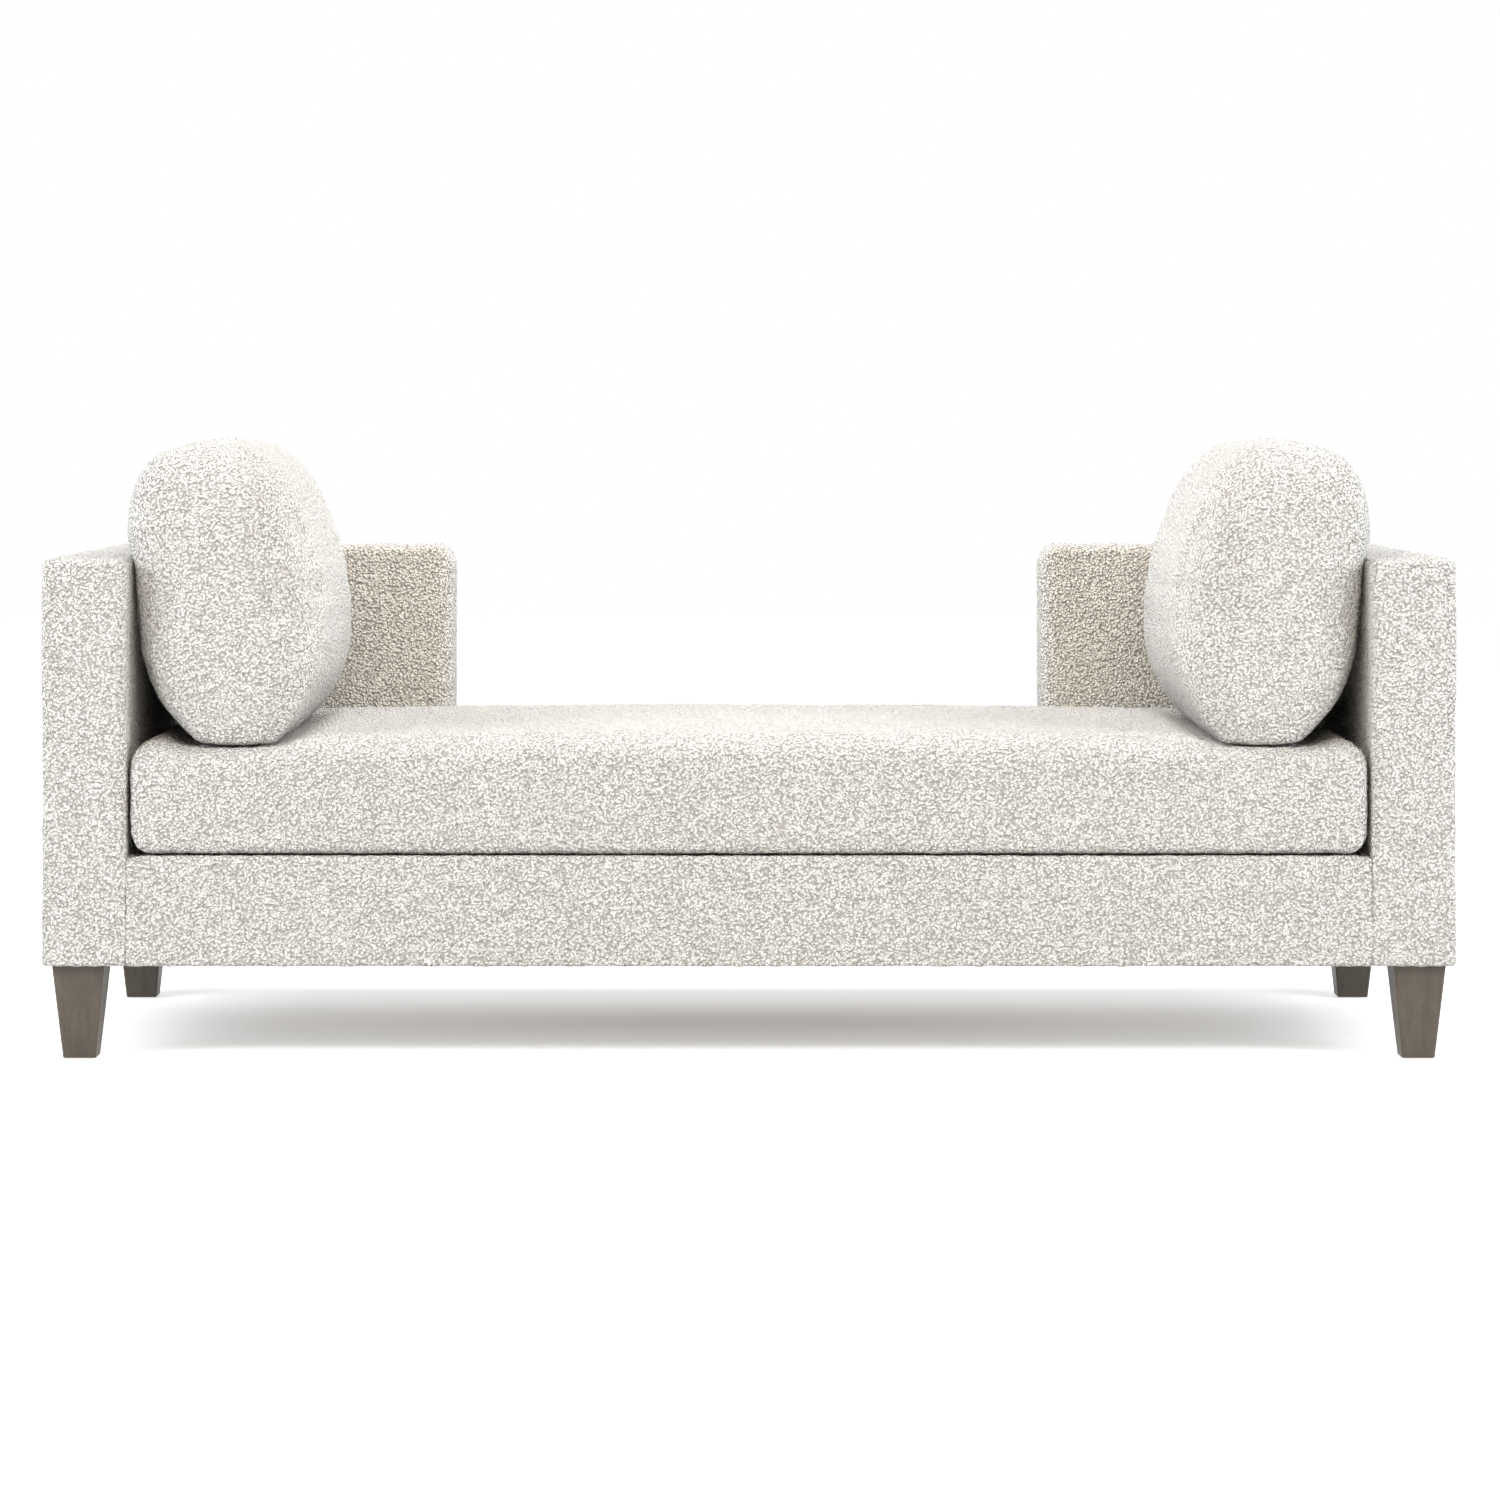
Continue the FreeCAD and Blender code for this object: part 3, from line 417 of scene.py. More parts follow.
class Finish(Tree):
    """The nodes of one material: a Principled surface and what feeds it."""

    def __init__(self, name):
        self.material = bpy.data.materials.new(name)
        super().__init__(self.material, "ShaderNodeOutputMaterial")
        self.surface = self.add("ShaderNodeBsdfPrincipled", {}, {})
        self.show(self.surface)
        self.place = self.add("ShaderNodeTexCoord", {}, {}, "Object")

    def noise(self, scale, detail=2.0, place=None):
        """Smooth noise around 0.5, with so many waves in a metre."""
        values = {"Vector": place or self.place, "Scale": scale, "Detail": detail}
        return self.add("ShaderNodeTexNoise", {}, values)

    def cells(self, scale, place=None, result="Distance"):
        """Round cells: the distance from each one's middle, or its own colour."""
        values = {"Vector": place or self.place, "Scale": scale}
        return self.add("ShaderNodeTexVoronoi", {}, values, result)

    def mix(self, share, first, second, blend="MIX"):
        """A colour between two colours, or blended from them in another way."""
        values = {0: share, 6: self.color(first), 7: self.color(second)}
        return self.add("ShaderNodeMix", {"data_type": "RGBA", "blend_type": blend}, values, 2)

    def scaled(self, color, share):
        """A colour made lighter or darker by a number."""
        grey = self.add("ShaderNodeCombineColor", {}, {0: share, 1: share, 2: share})
        return self.mix(1.0, color, grey, "MULTIPLY")

    @staticmethod
    def color(value):
        """A colour for a socket: three numbers get their alpha."""
        return value if isinstance(value, Socket) else (*tuple(value)[:3], 1)

    def along(self, axis):
        """The object coordinate along x (0), y (1) or z (2)."""
        return self.add("ShaderNodeSeparateXYZ", {}, {0: self.place}, axis)

    def vector(self, operation, first, entry, second):
        """A Vector Math node, whose second value goes into the named entry."""
        return self.add("ShaderNodeVectorMath", {"operation": operation}, {0: first, entry: second})

    def stretched(self, x, y, z):
        """Object coordinates scaled along each axis."""
        return self.vector("MULTIPLY", self.place, 1, (x, y, z))

    def length(self, place):
        """The distance of a place from the origin."""
        return self.add("ShaderNodeVectorMath", {"operation": "LENGTH"}, {0: place}, 1)

    def shifted(self, place, scale, amount):
        """Coordinates pushed about by a noise, to break up even cells."""
        values = {"Vector": place, "Scale": scale, "Detail": 1.0}
        push = self.add("ShaderNodeTexNoise", {}, values, "Color")
        push = self.vector("SUBTRACT", push, 1, (0.5, 0.5, 0.5))
        push = self.vector("SCALE", push, "Scale", amount)
        return self.vector("ADD", place, 1, push)

    def finish(self, color, roughness, height=None, depth=0.001, strength=1.0, **constants):
        """Sets the surface's sockets; constants are plain values that are the same all over."""
        entries = self.surface.output.node.inputs
        self.feed(entries["Base Color"], self.color(color))
        self.feed(entries["Roughness"], roughness)
        if height is not None:
            values = {"Height": height, "Distance": depth, "Strength": strength}
            self.feed(entries["Normal"], self.add("ShaderNodeBump", {}, values, "Normal"))
        for name, value in constants.items():
            entries[name.replace("_", " ")].default_value = value
        return self.material


# Finishes

# The front faces of the returns, which carry a painted shade (a warmer tint): where they begin, are full,
# begin to end, and end.
RETURN_FACE_DEPTH = (0.286, 0.291, 0.296, 0.312)
RETURN_FACE_SPAN = (0.498, 0.512, 0.934, 0.940)
RETURN_FACE_PAINTED_SHADE = (1.0, 0.965, 0.905)


def boucle(look):
    """Looped boucle: domed knots about 4.5 mm across, with painted warm shade in the gaps between them and
    odd flecks.

    A slow warp draws the knots out a little, so that they lie one way here and another way
    there. The front faces of the returns, which get the least light, carry painted shade: a
    slightly warmer tint, as warm bounce light in shade would give them.
    """
    tree = Finish("cream_boucle")
    place = tree.shifted(tree.place, 45.0, 0.005)
    place = tree.shifted(place, 230.0, 0.0011)
    knots = tree.cells(look.knots, place)
    fleck = tree.cells(look.knots, place, "Color")
    tone = tree.add("ShaderNodeSeparateColor", {}, {0: fleck}, 0)
    fine = tree.noise(1100.0, 1.0, place) - 0.5
    lump = tree.noise(120.0, 2.0, place) - 0.5
    crack = knots.ramp(0.34, 0.84)
    dome = (1.0 - crack * crack) * 0.55 - knots * knots * 0.75
    height = dome + tone * 0.30 + lump * 0.55 + fine * 0.14
    # Painted shade in the gaps between the knots: darkest in the cracks, varied at random by the lumps and
    # each knot's tone.
    gap_shade = (crack * crack * 1.15 - lump * 1.1 + (0.4 - tone) * 0.35).clamped()
    patch = tree.noise(7.0, 3.0) - 0.5
    cloud = tree.noise(60.0, 2.0) - 0.5
    shade = 1.0 + patch * 0.04 + cloud * 0.08 + (tone - 0.5) * 0.05
    color = tree.scaled(look.boucle_color, shade)
    color = tree.mix(gap_shade * look.gap_depth, color, look.boucle_gap_color)
    odd = tone.ramp(0.92, 0.97) * (1.0 - knots * 1.2).clamped()
    color = tree.mix(odd * 0.25, color, look.boucle_fleck_color)
    # Painted shade: the returns' front faces are tinted warmer, as warm bounce light in shade would make
    # them.
    across = tree.along(0).math("ABSOLUTE")
    painted_shade = tree.along(1).window(*RETURN_FACE_DEPTH) * across.window(*RETURN_FACE_SPAN)
    color = tree.mix(painted_shade, color, tree.mix(1.0, color, RETURN_FACE_PAINTED_SHADE, "MULTIPLY"))
    return tree.finish(
        color, 0.95, height, look.loop_height, 1.0, Sheen_Weight=0.50, Sheen_Roughness=0.35,
        Sheen_Tint=(1.0, 0.99, 0.97, 1), Specular_IOR_Level=0.12,
    )


def stained_wood(look):
    """Grey-brown stained hardwood: long streaks up the leg, fine pores and a soft satin."""
    tree = Finish("leg_stain")
    long = tree.stretched(1.0, 1.0, 0.06)
    streak = tree.noise(160.0, 4.0, tree.shifted(long, 14.0, 0.02))
    band = tree.noise(34.0, 2.0, long)
    pore = tree.noise(900.0, 1.0, tree.stretched(1.0, 1.0, 0.035)).ramp(0.60, 0.72)
    cloud = tree.noise(22.0, 3.0) - 0.5
    tone = streak * 0.55 + band * 0.45 + cloud * 0.5
    color = tree.mix(tone.ramp(0.25, 0.78), look.leg_dark, look.leg_light)
    color = tree.mix(pore * 0.5, color, look.leg_pore)
    height = 1.0 - pore * 0.7 - streak * 0.3
    return tree.finish(color, 0.42 + streak * 0.16, height, 0.0004, 0.6, Specular_IOR_Level=0.35)


def bare_timber(look):
    """Planed pale hardwood with growth bands."""
    tree = Finish("bare_timber")
    bands = tree.noise(26.0, 3.0, tree.stretched(0.12, 1.0, 1.0))
    fine = tree.noise(420.0, 2.0, tree.stretched(0.05, 1.0, 1.0))
    color = tree.mix((bands * 0.7 + fine * 0.4).ramp(0.3, 0.8), look.timber_color, look.timber_dark)
    return tree.finish(color, 0.62, fine, 0.0003, 0.5)


def fibrous(name, waves_per_metre, detail, warp, spread, first, second, roughness, *bump, **constants):
    """Tangled fibres: a noise drawn about by a warp, ramped over a spread between two colours."""
    tree = Finish(name)
    fibre = tree.noise(waves_per_metre, detail, tree.shifted(tree.place, *warp))
    color = tree.mix(fibre.ramp(*spread), first, second)
    return tree.finish(color, roughness, fibre, *bump, **constants)


def pressed_board(look):
    """Brown hardboard: short pressed fibres."""
    brown, pale = (0.13, 0.075, 0.042), (0.26, 0.165, 0.10)
    return fibrous("hardboard", 600.0, 3.0, (90.0, 0.01), (0.35, 0.7), brown, pale, 0.7, 0.0003, 0.5)


def wadding(look):
    """Polyester wadding: soft tangled fibres."""
    grey, white = (0.70, 0.70, 0.69), (0.90, 0.90, 0.89)
    return fibrous(
        "wadding", 260.0, 4.0, (60.0, 0.02), (0.3, 0.7), grey, white, 0.95, 0.0015, 0.6, Sheen_Weight=0.2
    )


def grey_felt(look):
    """Needled felt: grey fibres with pale ones."""
    dark, pale = (0.08, 0.078, 0.075), (0.22, 0.21, 0.20)
    return fibrous("grey_felt", 700.0, 3.0, (200.0, 0.006), (0.35, 0.7), dark, pale, 0.95, 0.0005, 0.6)


def plated_steel(look):
    """Zinc-plated steel: dull, a little uneven."""
    tree = Finish("plated_steel")
    cloud = tree.noise(120.0, 3.0)
    color = tree.mix(cloud, (0.42, 0.43, 0.45), (0.62, 0.62, 0.61))
    return tree.finish(color, 0.28 + cloud * 0.25, cloud, 0.0002, 0.3, Metallic=1.0)


def nickel(look):
    """Nickel-plated metal of the zip slider."""
    tree = Finish("nickel")
    wear = tree.noise(500.0, 2.0)
    color = tree.mix(wear, (0.55, 0.54, 0.52), (0.75, 0.74, 0.72))
    return tree.finish(color, 0.22 + wear * 0.15, Metallic=1.0)


def soft_foam(look):
    """Open-cell foam: fine pores."""
    tree = Finish("seat_foam")
    pores = tree.cells(700.0)
    color = tree.mix(pores.ramp(0.1, 0.7), (0.62, 0.55, 0.38), (0.86, 0.80, 0.62))
    return tree.finish(color, 0.9, pores, 0.0006, 0.6)


def pillow_fill(look):
    """Fibre fill inside its inner bag."""
    tree = Finish("fibre_fill")
    fibre = tree.noise(120.0, 4.0)
    color = tree.mix(fibre, (0.74, 0.74, 0.73), (0.90, 0.90, 0.90))
    return tree.finish(color, 0.95, fibre, 0.002, 0.5)


def woven(name, first, second, threads, depth):
    """Plain weave: sine threads along x and y, over and under each other in turn."""
    tree = Finish(name)
    warp = (tree.along(0) * threads).math("SINE")
    weft = (tree.along(1) * threads).math("SINE")
    height = warp * weft * 0.5 + 0.5
    cloud = tree.noise(60.0, 2.0) - 0.5
    color = tree.mix((height * 0.8 + cloud * 0.5).clamped(), first, second)
    return tree.finish(color, 0.9, height, depth, 0.6, Sheen_Weight=0.1)


def deck_weave(look):
    """Grey-brown plain weave of the deck."""
    return woven("deck_cloth", (0.46, 0.44, 0.40), (0.62, 0.60, 0.56), 3000.0, 0.0004)


def dust_weave(look):
    """Black non-woven cloth with small pressed points."""
    tree = Finish("dust_cloth")
    fibre = tree.noise(900.0, 3.0, tree.shifted(tree.place, 300.0, 0.004))
    points = tree.cells(420.0).ramp(0.0, 0.35)
    color = tree.mix(fibre, (0.012, 0.012, 0.012), (0.035, 0.034, 0.033))
    return tree.finish(color, 0.85, points * 0.5 + fibre * 0.5, 0.0005, 0.5, Sheen_Weight=0.1)


def ribbed_tape(look):
    """Zip tape and chain: fine ribs across its length."""
    tree = Finish("zip_tape")
    rib = (tree.along(0) * 2800.0).math("SINE") * 0.5 + 0.5
    color = tree.mix(rib, (0.52, 0.50, 0.46), (0.70, 0.68, 0.64))
    return tree.finish(color, 0.8, rib, 0.0005, 0.7)


def dark_nylon(look):
    """Moulded nylon of the glides, scuffed by the floor."""
    tree = Finish("dark_nylon")
    scuff = tree.noise(300.0, 3.0)
    color = tree.mix(scuff, (0.012, 0.011, 0.010), (0.030, 0.028, 0.026))
    return tree.finish(color, 0.38 + scuff * 0.3)


FINISHES = {
    "boucle": boucle,
    "padding": wadding,
    "foam": soft_foam,
    "fibre_fill": pillow_fill,
    "timber": bare_timber,
    "hardboard": pressed_board,
    "leg_wood": stained_wood,
    "steel": plated_steel,
    "felt": grey_felt,
    "deck_cloth": deck_weave,
    "dust_cloth": dust_weave,
    "zip_tape": ribbed_tape,
    "zip_metal": nickel,
    "glide_plastic": dark_nylon,
}
MADE = {}


def finish_of(slot):
    """The material of one slot of the record, made once."""
    if slot not in MADE:
        MADE[slot] = FINISHES[slot](bpy.context.scene.chaise_look)
    return MADE[slot]


def dress(obj, slot, body, *nodes):
    """Gives a piece its finish and its body, and hides the nodes that it stands for."""
    obj.data.materials.clear()
    obj.data.materials.append(finish_of(slot))
    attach(obj, body)
    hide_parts(*nodes)


# Settings

def color_setting(name, text, value):
    """A colour that the panel shows."""
    return bpy.props.FloatVectorProperty(
        name=name, description=text, default=value, size=3, min=0, max=1, subtype="COLOR"
    )


def number_setting(name, text, value, **more):
    """A number that the panel shows."""
    return bpy.props.FloatProperty(name=name, description=text, default=value, **more)


def length_setting(name, text, value):
    """A length in metres that the panel shows."""
    return number_setting(name, text, value, min=0.0001, unit="LENGTH")


class ChaiseSizes(bpy.types.PropertyGroup):
    """Sizes of the cloth pieces."""

    cloth_step: length_setting("Cloth grid", "Distance between points on the covers", 0.0055)
    edge_radius: length_setting("Edge radius", "Rounding of the body's upper edges", 0.010)
    return_end_radius: length_setting("Return end radius", "Rounding of a return's upper end", 0.034)
    base_radius: length_setting("Base radius", "Rounding of the body's lower edges", 0.006)
    seam_radius: length_setting("Seam radius", "Rounding where two covers meet", 0.0016)
    cloth_lip: length_setting("Cloth lip", "Width of cloth turned in under the body", 0.025)
    seat_top_radius: length_setting("Seat top radius", "Rounding of its upper edges", 0.042)
    seat_base_radius: length_setting("Seat base radius", "Rounding of its lower edges", 0.015)
    seat_end_radius: length_setting("Seat end radius", "Rounding of its lower edges at the ends", 0.036)
    seat_corner_radius: length_setting("Seat corner radius", "Rounding of its upright corners", 0.016)
    pillow_dome: length_setting("Pillow dome", "Length over which a pillow's ends are drawn in", 0.076)


class ChaiseLook(bpy.types.PropertyGroup):
    """Colours of the finishes, and the knots of the boucle."""

    boucle_color: color_setting("Boucle", "Cream of the boucle's loops", (0.95, 0.928, 0.886))
    # The gap colour and the gap depth give the painted shade between the loops.
    boucle_gap_color: color_setting("Boucle gaps", "Shade between the loops", (0.32, 0.22, 0.14))
    boucle_fleck_color: color_setting("Boucle flecks", "Odd darker loops", (0.46, 0.41, 0.35))
    knots: number_setting("Knots", "Knots of the boucle in a metre", 224.0)
    gap_depth: number_setting("Gap depth", "How dark the gaps are", 0.33, min=0, max=1)
    loop_height: length_setting("Loop height", "Height of the boucle's loops", 0.0103)
    leg_light: color_setting("Leg light", "Pale streaks of the stained legs", (0.112, 0.092, 0.071))
    leg_dark: color_setting("Leg dark", "Dark streaks of the stained legs", (0.062, 0.051, 0.040))
    leg_pore: color_setting("Leg pores", "Pores of the stained legs", (0.038, 0.031, 0.026))
    timber_color: color_setting("Timber", "Pale planed timber", (0.62, 0.46, 0.28))
    timber_dark: color_setting("Timber bands", "Darker bands of the timber", (0.46, 0.31, 0.17))


class ChaiseOperator:
    """What the operators share: they can be undone and belong to one panel."""

    bl_options = {"REGISTER", "UNDO"}


class CHAISE_OT_frame_finish(ChaiseOperator, bpy.types.Operator):
    """Gives every node of the frame the finish of its slot"""

    bl_idname = "chaise.frame_finish"
    bl_label = "Frame finishes"

    def execute(self, context):
        for part in frame["record"]["subparts"]:
            obj = frame["nodes"][part["node"]]
            material = finish_of(part["material_slot"])
            for place in obj.material_slots:
                place.material = material
        return {"FINISHED"}


class CHAISE_OT_arms(ChaiseOperator, bpy.types.Operator):
    """Upholsters both arms: a rounded box whose inner front edge is rounded only above the deck"""

    bl_idname = "chaise.arms"
    bl_label = "Arm covers"

    def execute(self, context):
        sizes = context.scene.chaise_sizes
        r, seam, low = sizes.edge_radius, sizes.seam_radius, sizes.base_radius
        deck = RAIL_HIGH[2]

        def front_inner(height):
            """The inner front edge: a seam up to the deck, and a full rounding above it."""
            return float(seam + (r * 1.4 - seam) * smooth(deck - 0.004, deck + 0.016, height))

        obj = upholstered_box(
            "right_arm_upholstery", BODY_LOW, BODY_HIGH,
            plan=(r, r, seam, front_inner),
            top=(r * 1.2, r, r, r * 1.2), base=(low, low, low, seam),
            lip=(sizes.cloth_lip, sizes.cloth_lip, sizes.cloth_lip, seam),
            lift=(0, 0, 0, HEM), step=sizes.cloth_step,
        )
        roughen(obj, 11, (BODY_LOW[2], BODY_HIGH[2]))
        points = coordinates(obj)
        points[:, 0] = np.maximum(points[:, 0], BODY_LOW[0])
        set_coordinates(obj, points)
        other = mirrored(obj, "left_arm_upholstery")
        dress(obj, "boucle", "frame", "right_arm_cover", "right_arm_padding")
        dress(other, "boucle", "frame", "left_arm_cover", "left_arm_padding")
        return {"FINISHED"}


class CHAISE_OT_returns(ChaiseOperator, bpy.types.Operator):
    """Upholsters both returns, with a fuller rounding at their inner ends"""

    bl_idname = "chaise.returns"
    bl_label = "Return covers"

    def execute(self, context):
        sizes = context.scene.chaise_sizes
        r, seam, low = sizes.edge_radius, sizes.seam_radius, sizes.base_radius
        obj = upholstered_box(
            "right_return_upholstery", RETURN_LOW, RETURN_HIGH,
            plan=(seam, seam, r * 2.6, r * 2.6),
            top=(r * 1.3, seam, r, sizes.return_end_radius), base=(seam, seam, low, seam),
            lip=(seam, seam, sizes.cloth_lip, seam),
            lift=(HEM, HEM, 0, HEM), step=sizes.cloth_step,
        )
        roughen(obj, 23, (BODY_LOW[2], BODY_HIGH[2]))
        other = mirrored(obj, "left_return_upholstery")
        dress(obj, "boucle", "frame", "right_return_cover", "right_return_padding")
        dress(other, "boucle", "frame", "left_return_cover", "left_return_padding")
        return {"FINISHED"}


class CHAISE_OT_rails(ChaiseOperator, bpy.types.Operator):
    """Upholsters the front rail, and the back rail with its ledge"""

    bl_idname = "chaise.rails"
    bl_label = "Rail covers"

    def execute(self, context):
        sizes = context.scene.chaise_sizes
        seam, low = sizes.seam_radius, sizes.base_radius
        high = sizes.edge_radius * 0.8
        obj = upholstered_box(
            "front_rail_upholstery", RAIL_LOW, RAIL_HIGH,
            plan=(seam, seam, seam, seam), top=(high, seam, seam, seam),
            base=(low, seam, seam, seam), lip=(sizes.cloth_lip, seam, seam, seam),
            lift=(0, 0, HEM, 0), step=sizes.cloth_step,
        )
        points = coordinates(obj)
        corner = 1 - smooth(0, 0.030, RAIL_HIGH[0] - np.abs(points[:, 0]))
        upper = smooth(RAIL_HIGH[2] - 0.06, RAIL_HIGH[2] - 0.01, points[:, 2])
        points[:, 2] -= 0.0026 * corner * upper
        set_coordinates(obj, points)
        roughen(obj, 37, (RAIL_LOW[2], RAIL_HIGH[2]))
        dress(obj, "boucle", "frame", "front_rail_cover", "front_rail_padding")
        obj = upholstered_box(
            "back_rail_upholstery", LEDGE_LOW, LEDGE_HIGH,
            plan=(seam, seam, seam, seam), top=(seam, seam, high, seam),
            base=(seam, seam, low, seam), lip=(seam, seam, sizes.cloth_lip, seam),
            lift=(HEM, 0, 0, 0), step=sizes.cloth_step,
        )
        roughen(obj, 41, (RAIL_LOW[2], RAIL_HIGH[2]))
        dress(obj, "boucle", "frame", "back_rail_cover", "back_rail_padding")
        return {"FINISHED"}


# Seat cushion

# Where a pillow's foot begins to press, presses fully, lets go and is gone: along |x| and y.
DENT_SPAN = (0.652, 0.724, 0.850, 0.922)
DENT_DEPTH = (-0.440, -0.370, 0.170, 0.250)
DENT = 0.0160
END_FALL = 0.0115
CROWN = 0.0035
FRONT_SWELL = 0.0030
FRONT_SWELL_DEPTH = (-0.36, -0.41)
ZIP_LEVEL = 0.400
ZIP_RECESS = 0.0036
ZIP_RECESS_HEIGHT = (0.0075, 0.0125)
ZIP_RECESS_LENGTH = (0.440, 0.446)


def pressed(rise, full, fall, gone, value):
    """1 from full to fall, with smooth sides that begin at rise and end at gone."""
    return smooth(rise, full, value) * (1 - smooth(fall, gone, value))


def seat_rise(x, y):
    """How far the seat's top stands under its highest point: a fall to the ends, a crown, dents.

    The fall is 11.5 mm * (|x|/end)^2.2, the crown 3.5 mm * |v|^3 with v from -1 to 1 across
    the seat, and each pillow's foot presses a dent 16 mm deep with smooth sides.
    """
    v = (y - (SEAT_LOW[1] + SEAT_HIGH[1]) / 2) / ((SEAT_HIGH[1] - SEAT_LOW[1]) / 2)
    rise = -END_FALL * np.abs(x / SEAT_HIGH[0]) ** 2.2 - CROWN * np.clip(np.abs(v), 0, 1) ** 3
    return rise - DENT * pressed(*DENT_SPAN, np.abs(x)) * pressed(*DENT_DEPTH, y)


class CHAISE_OT_seat_cushion(ChaiseOperator, bpy.types.Operator):
    """Makes the loose seat cushion, crowned and pressed down where the pillows stand"""

    bl_idname = "chaise.seat_cushion"
    bl_label = "Seat cushion"

    def execute(self, context):
        sizes = context.scene.chaise_sizes
        top, base, corner = sizes.seat_top_radius, sizes.seat_base_radius, sizes.seat_corner_radius
        end = sizes.seat_end_radius
        low = SEAT_LOW + np.array([0, 0.003, 0])
        obj = upholstered_box(
            "seat_cushion_boucle", low, SEAT_HIGH,
            plan=(corner, corner, corner, corner), top=(top, top * 0.86, top * 0.8, top * 0.86),
            base=(base, end, base, end), lip=(base, end, base, end),
            lift=(0, 0, 0, 0), step=sizes.cloth_step * 1.25,
        )
        points = coordinates(obj)
        x, y, z = points.T
        middle = (SEAT_LOW[2] + SEAT_HIGH[2]) / 2
        upper = smooth(middle - 0.02, SEAT_HIGH[2] - top * 0.5, z)
        points[:, 2] += upper * seat_rise(x, y)
        swell = 1 - ((z - middle) / (SEAT_HIGH[2] - middle)) ** 2
        front = smooth(*FRONT_SWELL_DEPTH, y)
        points[:, 1] -= FRONT_SWELL * np.clip(swell, 0, 1) * front
        set_coordinates(obj, points)
        inflate(obj, 0.009, 3.0, 0.003)
        roughen(obj, 53, (SEAT_LOW[2],), sway=0.0014)
        points = coordinates(obj)
        x, y, z = points.T
        tape = 1 - smooth(*ZIP_RECESS_HEIGHT, np.abs(z - ZIP_LEVEL))
        tape *= 1 - smooth(*ZIP_RECESS_LENGTH, np.abs(x))
        rear = smooth(SEAT_HIGH[1] - 0.012, SEAT_HIGH[1] - 0.006, y)
        limit = SEAT_HIGH[1] - ZIP_RECESS
        points[:, 1] = y + (np.minimum(y, limit) - y) * tape * rear
        points[:, 1] = np.minimum(points[:, 1], SEAT_HIGH[1] + 0.0012)
        points[:, 0] = np.clip(points[:, 0], -SEAT_HIGH[0], SEAT_HIGH[0])
        points[:, 2] = np.maximum(points[:, 2], SEAT_LOW[2])
        set_coordinates(obj, points)
        dress(obj, "boucle", "seat_cushion", "seat_cushion_cover", "seat_cushion_core")
        return {"FINISHED"}


# Pillows

PILLOW_OUTLINE = np.array([
    (-0.822, 0.4570), (-0.844, 0.4760), (-0.870, 0.505), (-0.898, 0.544), (-0.915, 0.585), (-0.927, 0.632),
    (-0.935, 0.680), (-0.940, 0.728), (-0.943, 0.760), (-0.947, 0.801), (-0.946, 0.833), (-0.940, 0.868),
    (-0.926, 0.897), (-0.911, 0.915), (-0.888, 0.927), (-0.856, 0.934), (-0.824, 0.938), (-0.792, 0.9385),
    (-0.772, 0.932), (-0.748, 0.920), (-0.726, 0.899), (-0.705, 0.862), (-0.693, 0.829), (-0.681, 0.793),
    (-0.668, 0.757), (-0.658, 0.705), (-0.654, 0.650), (-0.655, 0.600), (-0.663, 0.560), (-0.677, 0.530),
    (-0.693, 0.505), (-0.716, 0.4760), (-0.736, 0.4550), (-0.784, 0.4480),
])
PILLOW_MIDDLE = np.array([-0.797, 0.706])
PILLOW_ENDS = np.array([-0.397, 0.213])
PILLOW_FLOOR = 0.4712


def pillow_radius(angles):
    """Distance of the outline from the pillow's middle at each angle: a closed curve through
    the outline's points, smoothed with a short moving mean."""
    away = PILLOW_OUTLINE - PILLOW_MIDDLE
    known = np.arctan2(away[:, 1], away[:, 0])
    order = np.argsort(known)
    known = known[order]
    size = np.hypot(away[:, 0], away[:, 1])[order]
    known = np.concatenate([known - 2 * np.pi, known, known + 2 * np.pi])
    size = np.tile(size, 3)
    fine = np.linspace(-np.pi, np.pi, 721)[:-1]
    value = np.interp(fine, known, size)
    kernel = np.hanning(25)
    kernel /= kernel.sum()
    value = np.convolve(np.tile(value, 3), kernel, "same")[720:1440]
    turned = (angles + np.pi) % (2 * np.pi) - np.pi
    return np.interp(turned, np.append(fine, np.pi), np.append(value, value[0]))


def pillow_surface(dome_length, columns=250):
    """The left pillow: its outline drawn along y, and drawn in to a point at both ends.

    With t from 0 at a tip to 1, the outline is scaled by t and lies dome * (1 - (1 - t^p)^(1/p))
    from the tip. The dome is longer on the inner, upper side, and the power p is higher below,
    so that the foot stays square. The width grows by 1% in the middle and shrinks by 1% at the
    ends.
    """
    angles = np.linspace(0, 2 * np.pi, columns, endpoint=False)
    dome = dome_length * (1 + 0.8 * smooth(-0.1, 0.7, np.cos(angles - 0.55)))
    outline = pillow_radius(angles)
    length = PILLOW_ENDS[1] - PILLOW_ENDS[0]
    power = 3.5 + 2.5 * smooth(0.2, 0.9, -np.sin(angles))
    tip = np.sin(np.linspace(0, np.pi / 2, 36))[:, None] + 0 * angles
    depth = dome * (1 - (1 - tip ** power) ** (1 / power))
    middle = np.linspace(dome, length - dome, 72)[1:-1]
    distance = np.concatenate([depth, middle, length - depth[::-1]])
    share = np.concatenate([tip, np.ones_like(middle), tip[::-1]])
    v = (distance / length - 0.5) * 2
    plump = 1 + 0.020 * (1 - v * v) - 0.010
    x = PILLOW_MIDDLE[0] + share * plump * outline * np.cos(angles)
    z = PILLOW_MIDDLE[1] + share * outline * np.sin(angles)
    points = np.stack([x, PILLOW_ENDS[0] + distance, z], -1).reshape(-1, 3)
    return points, grid_faces(len(distance), columns, closed=True)


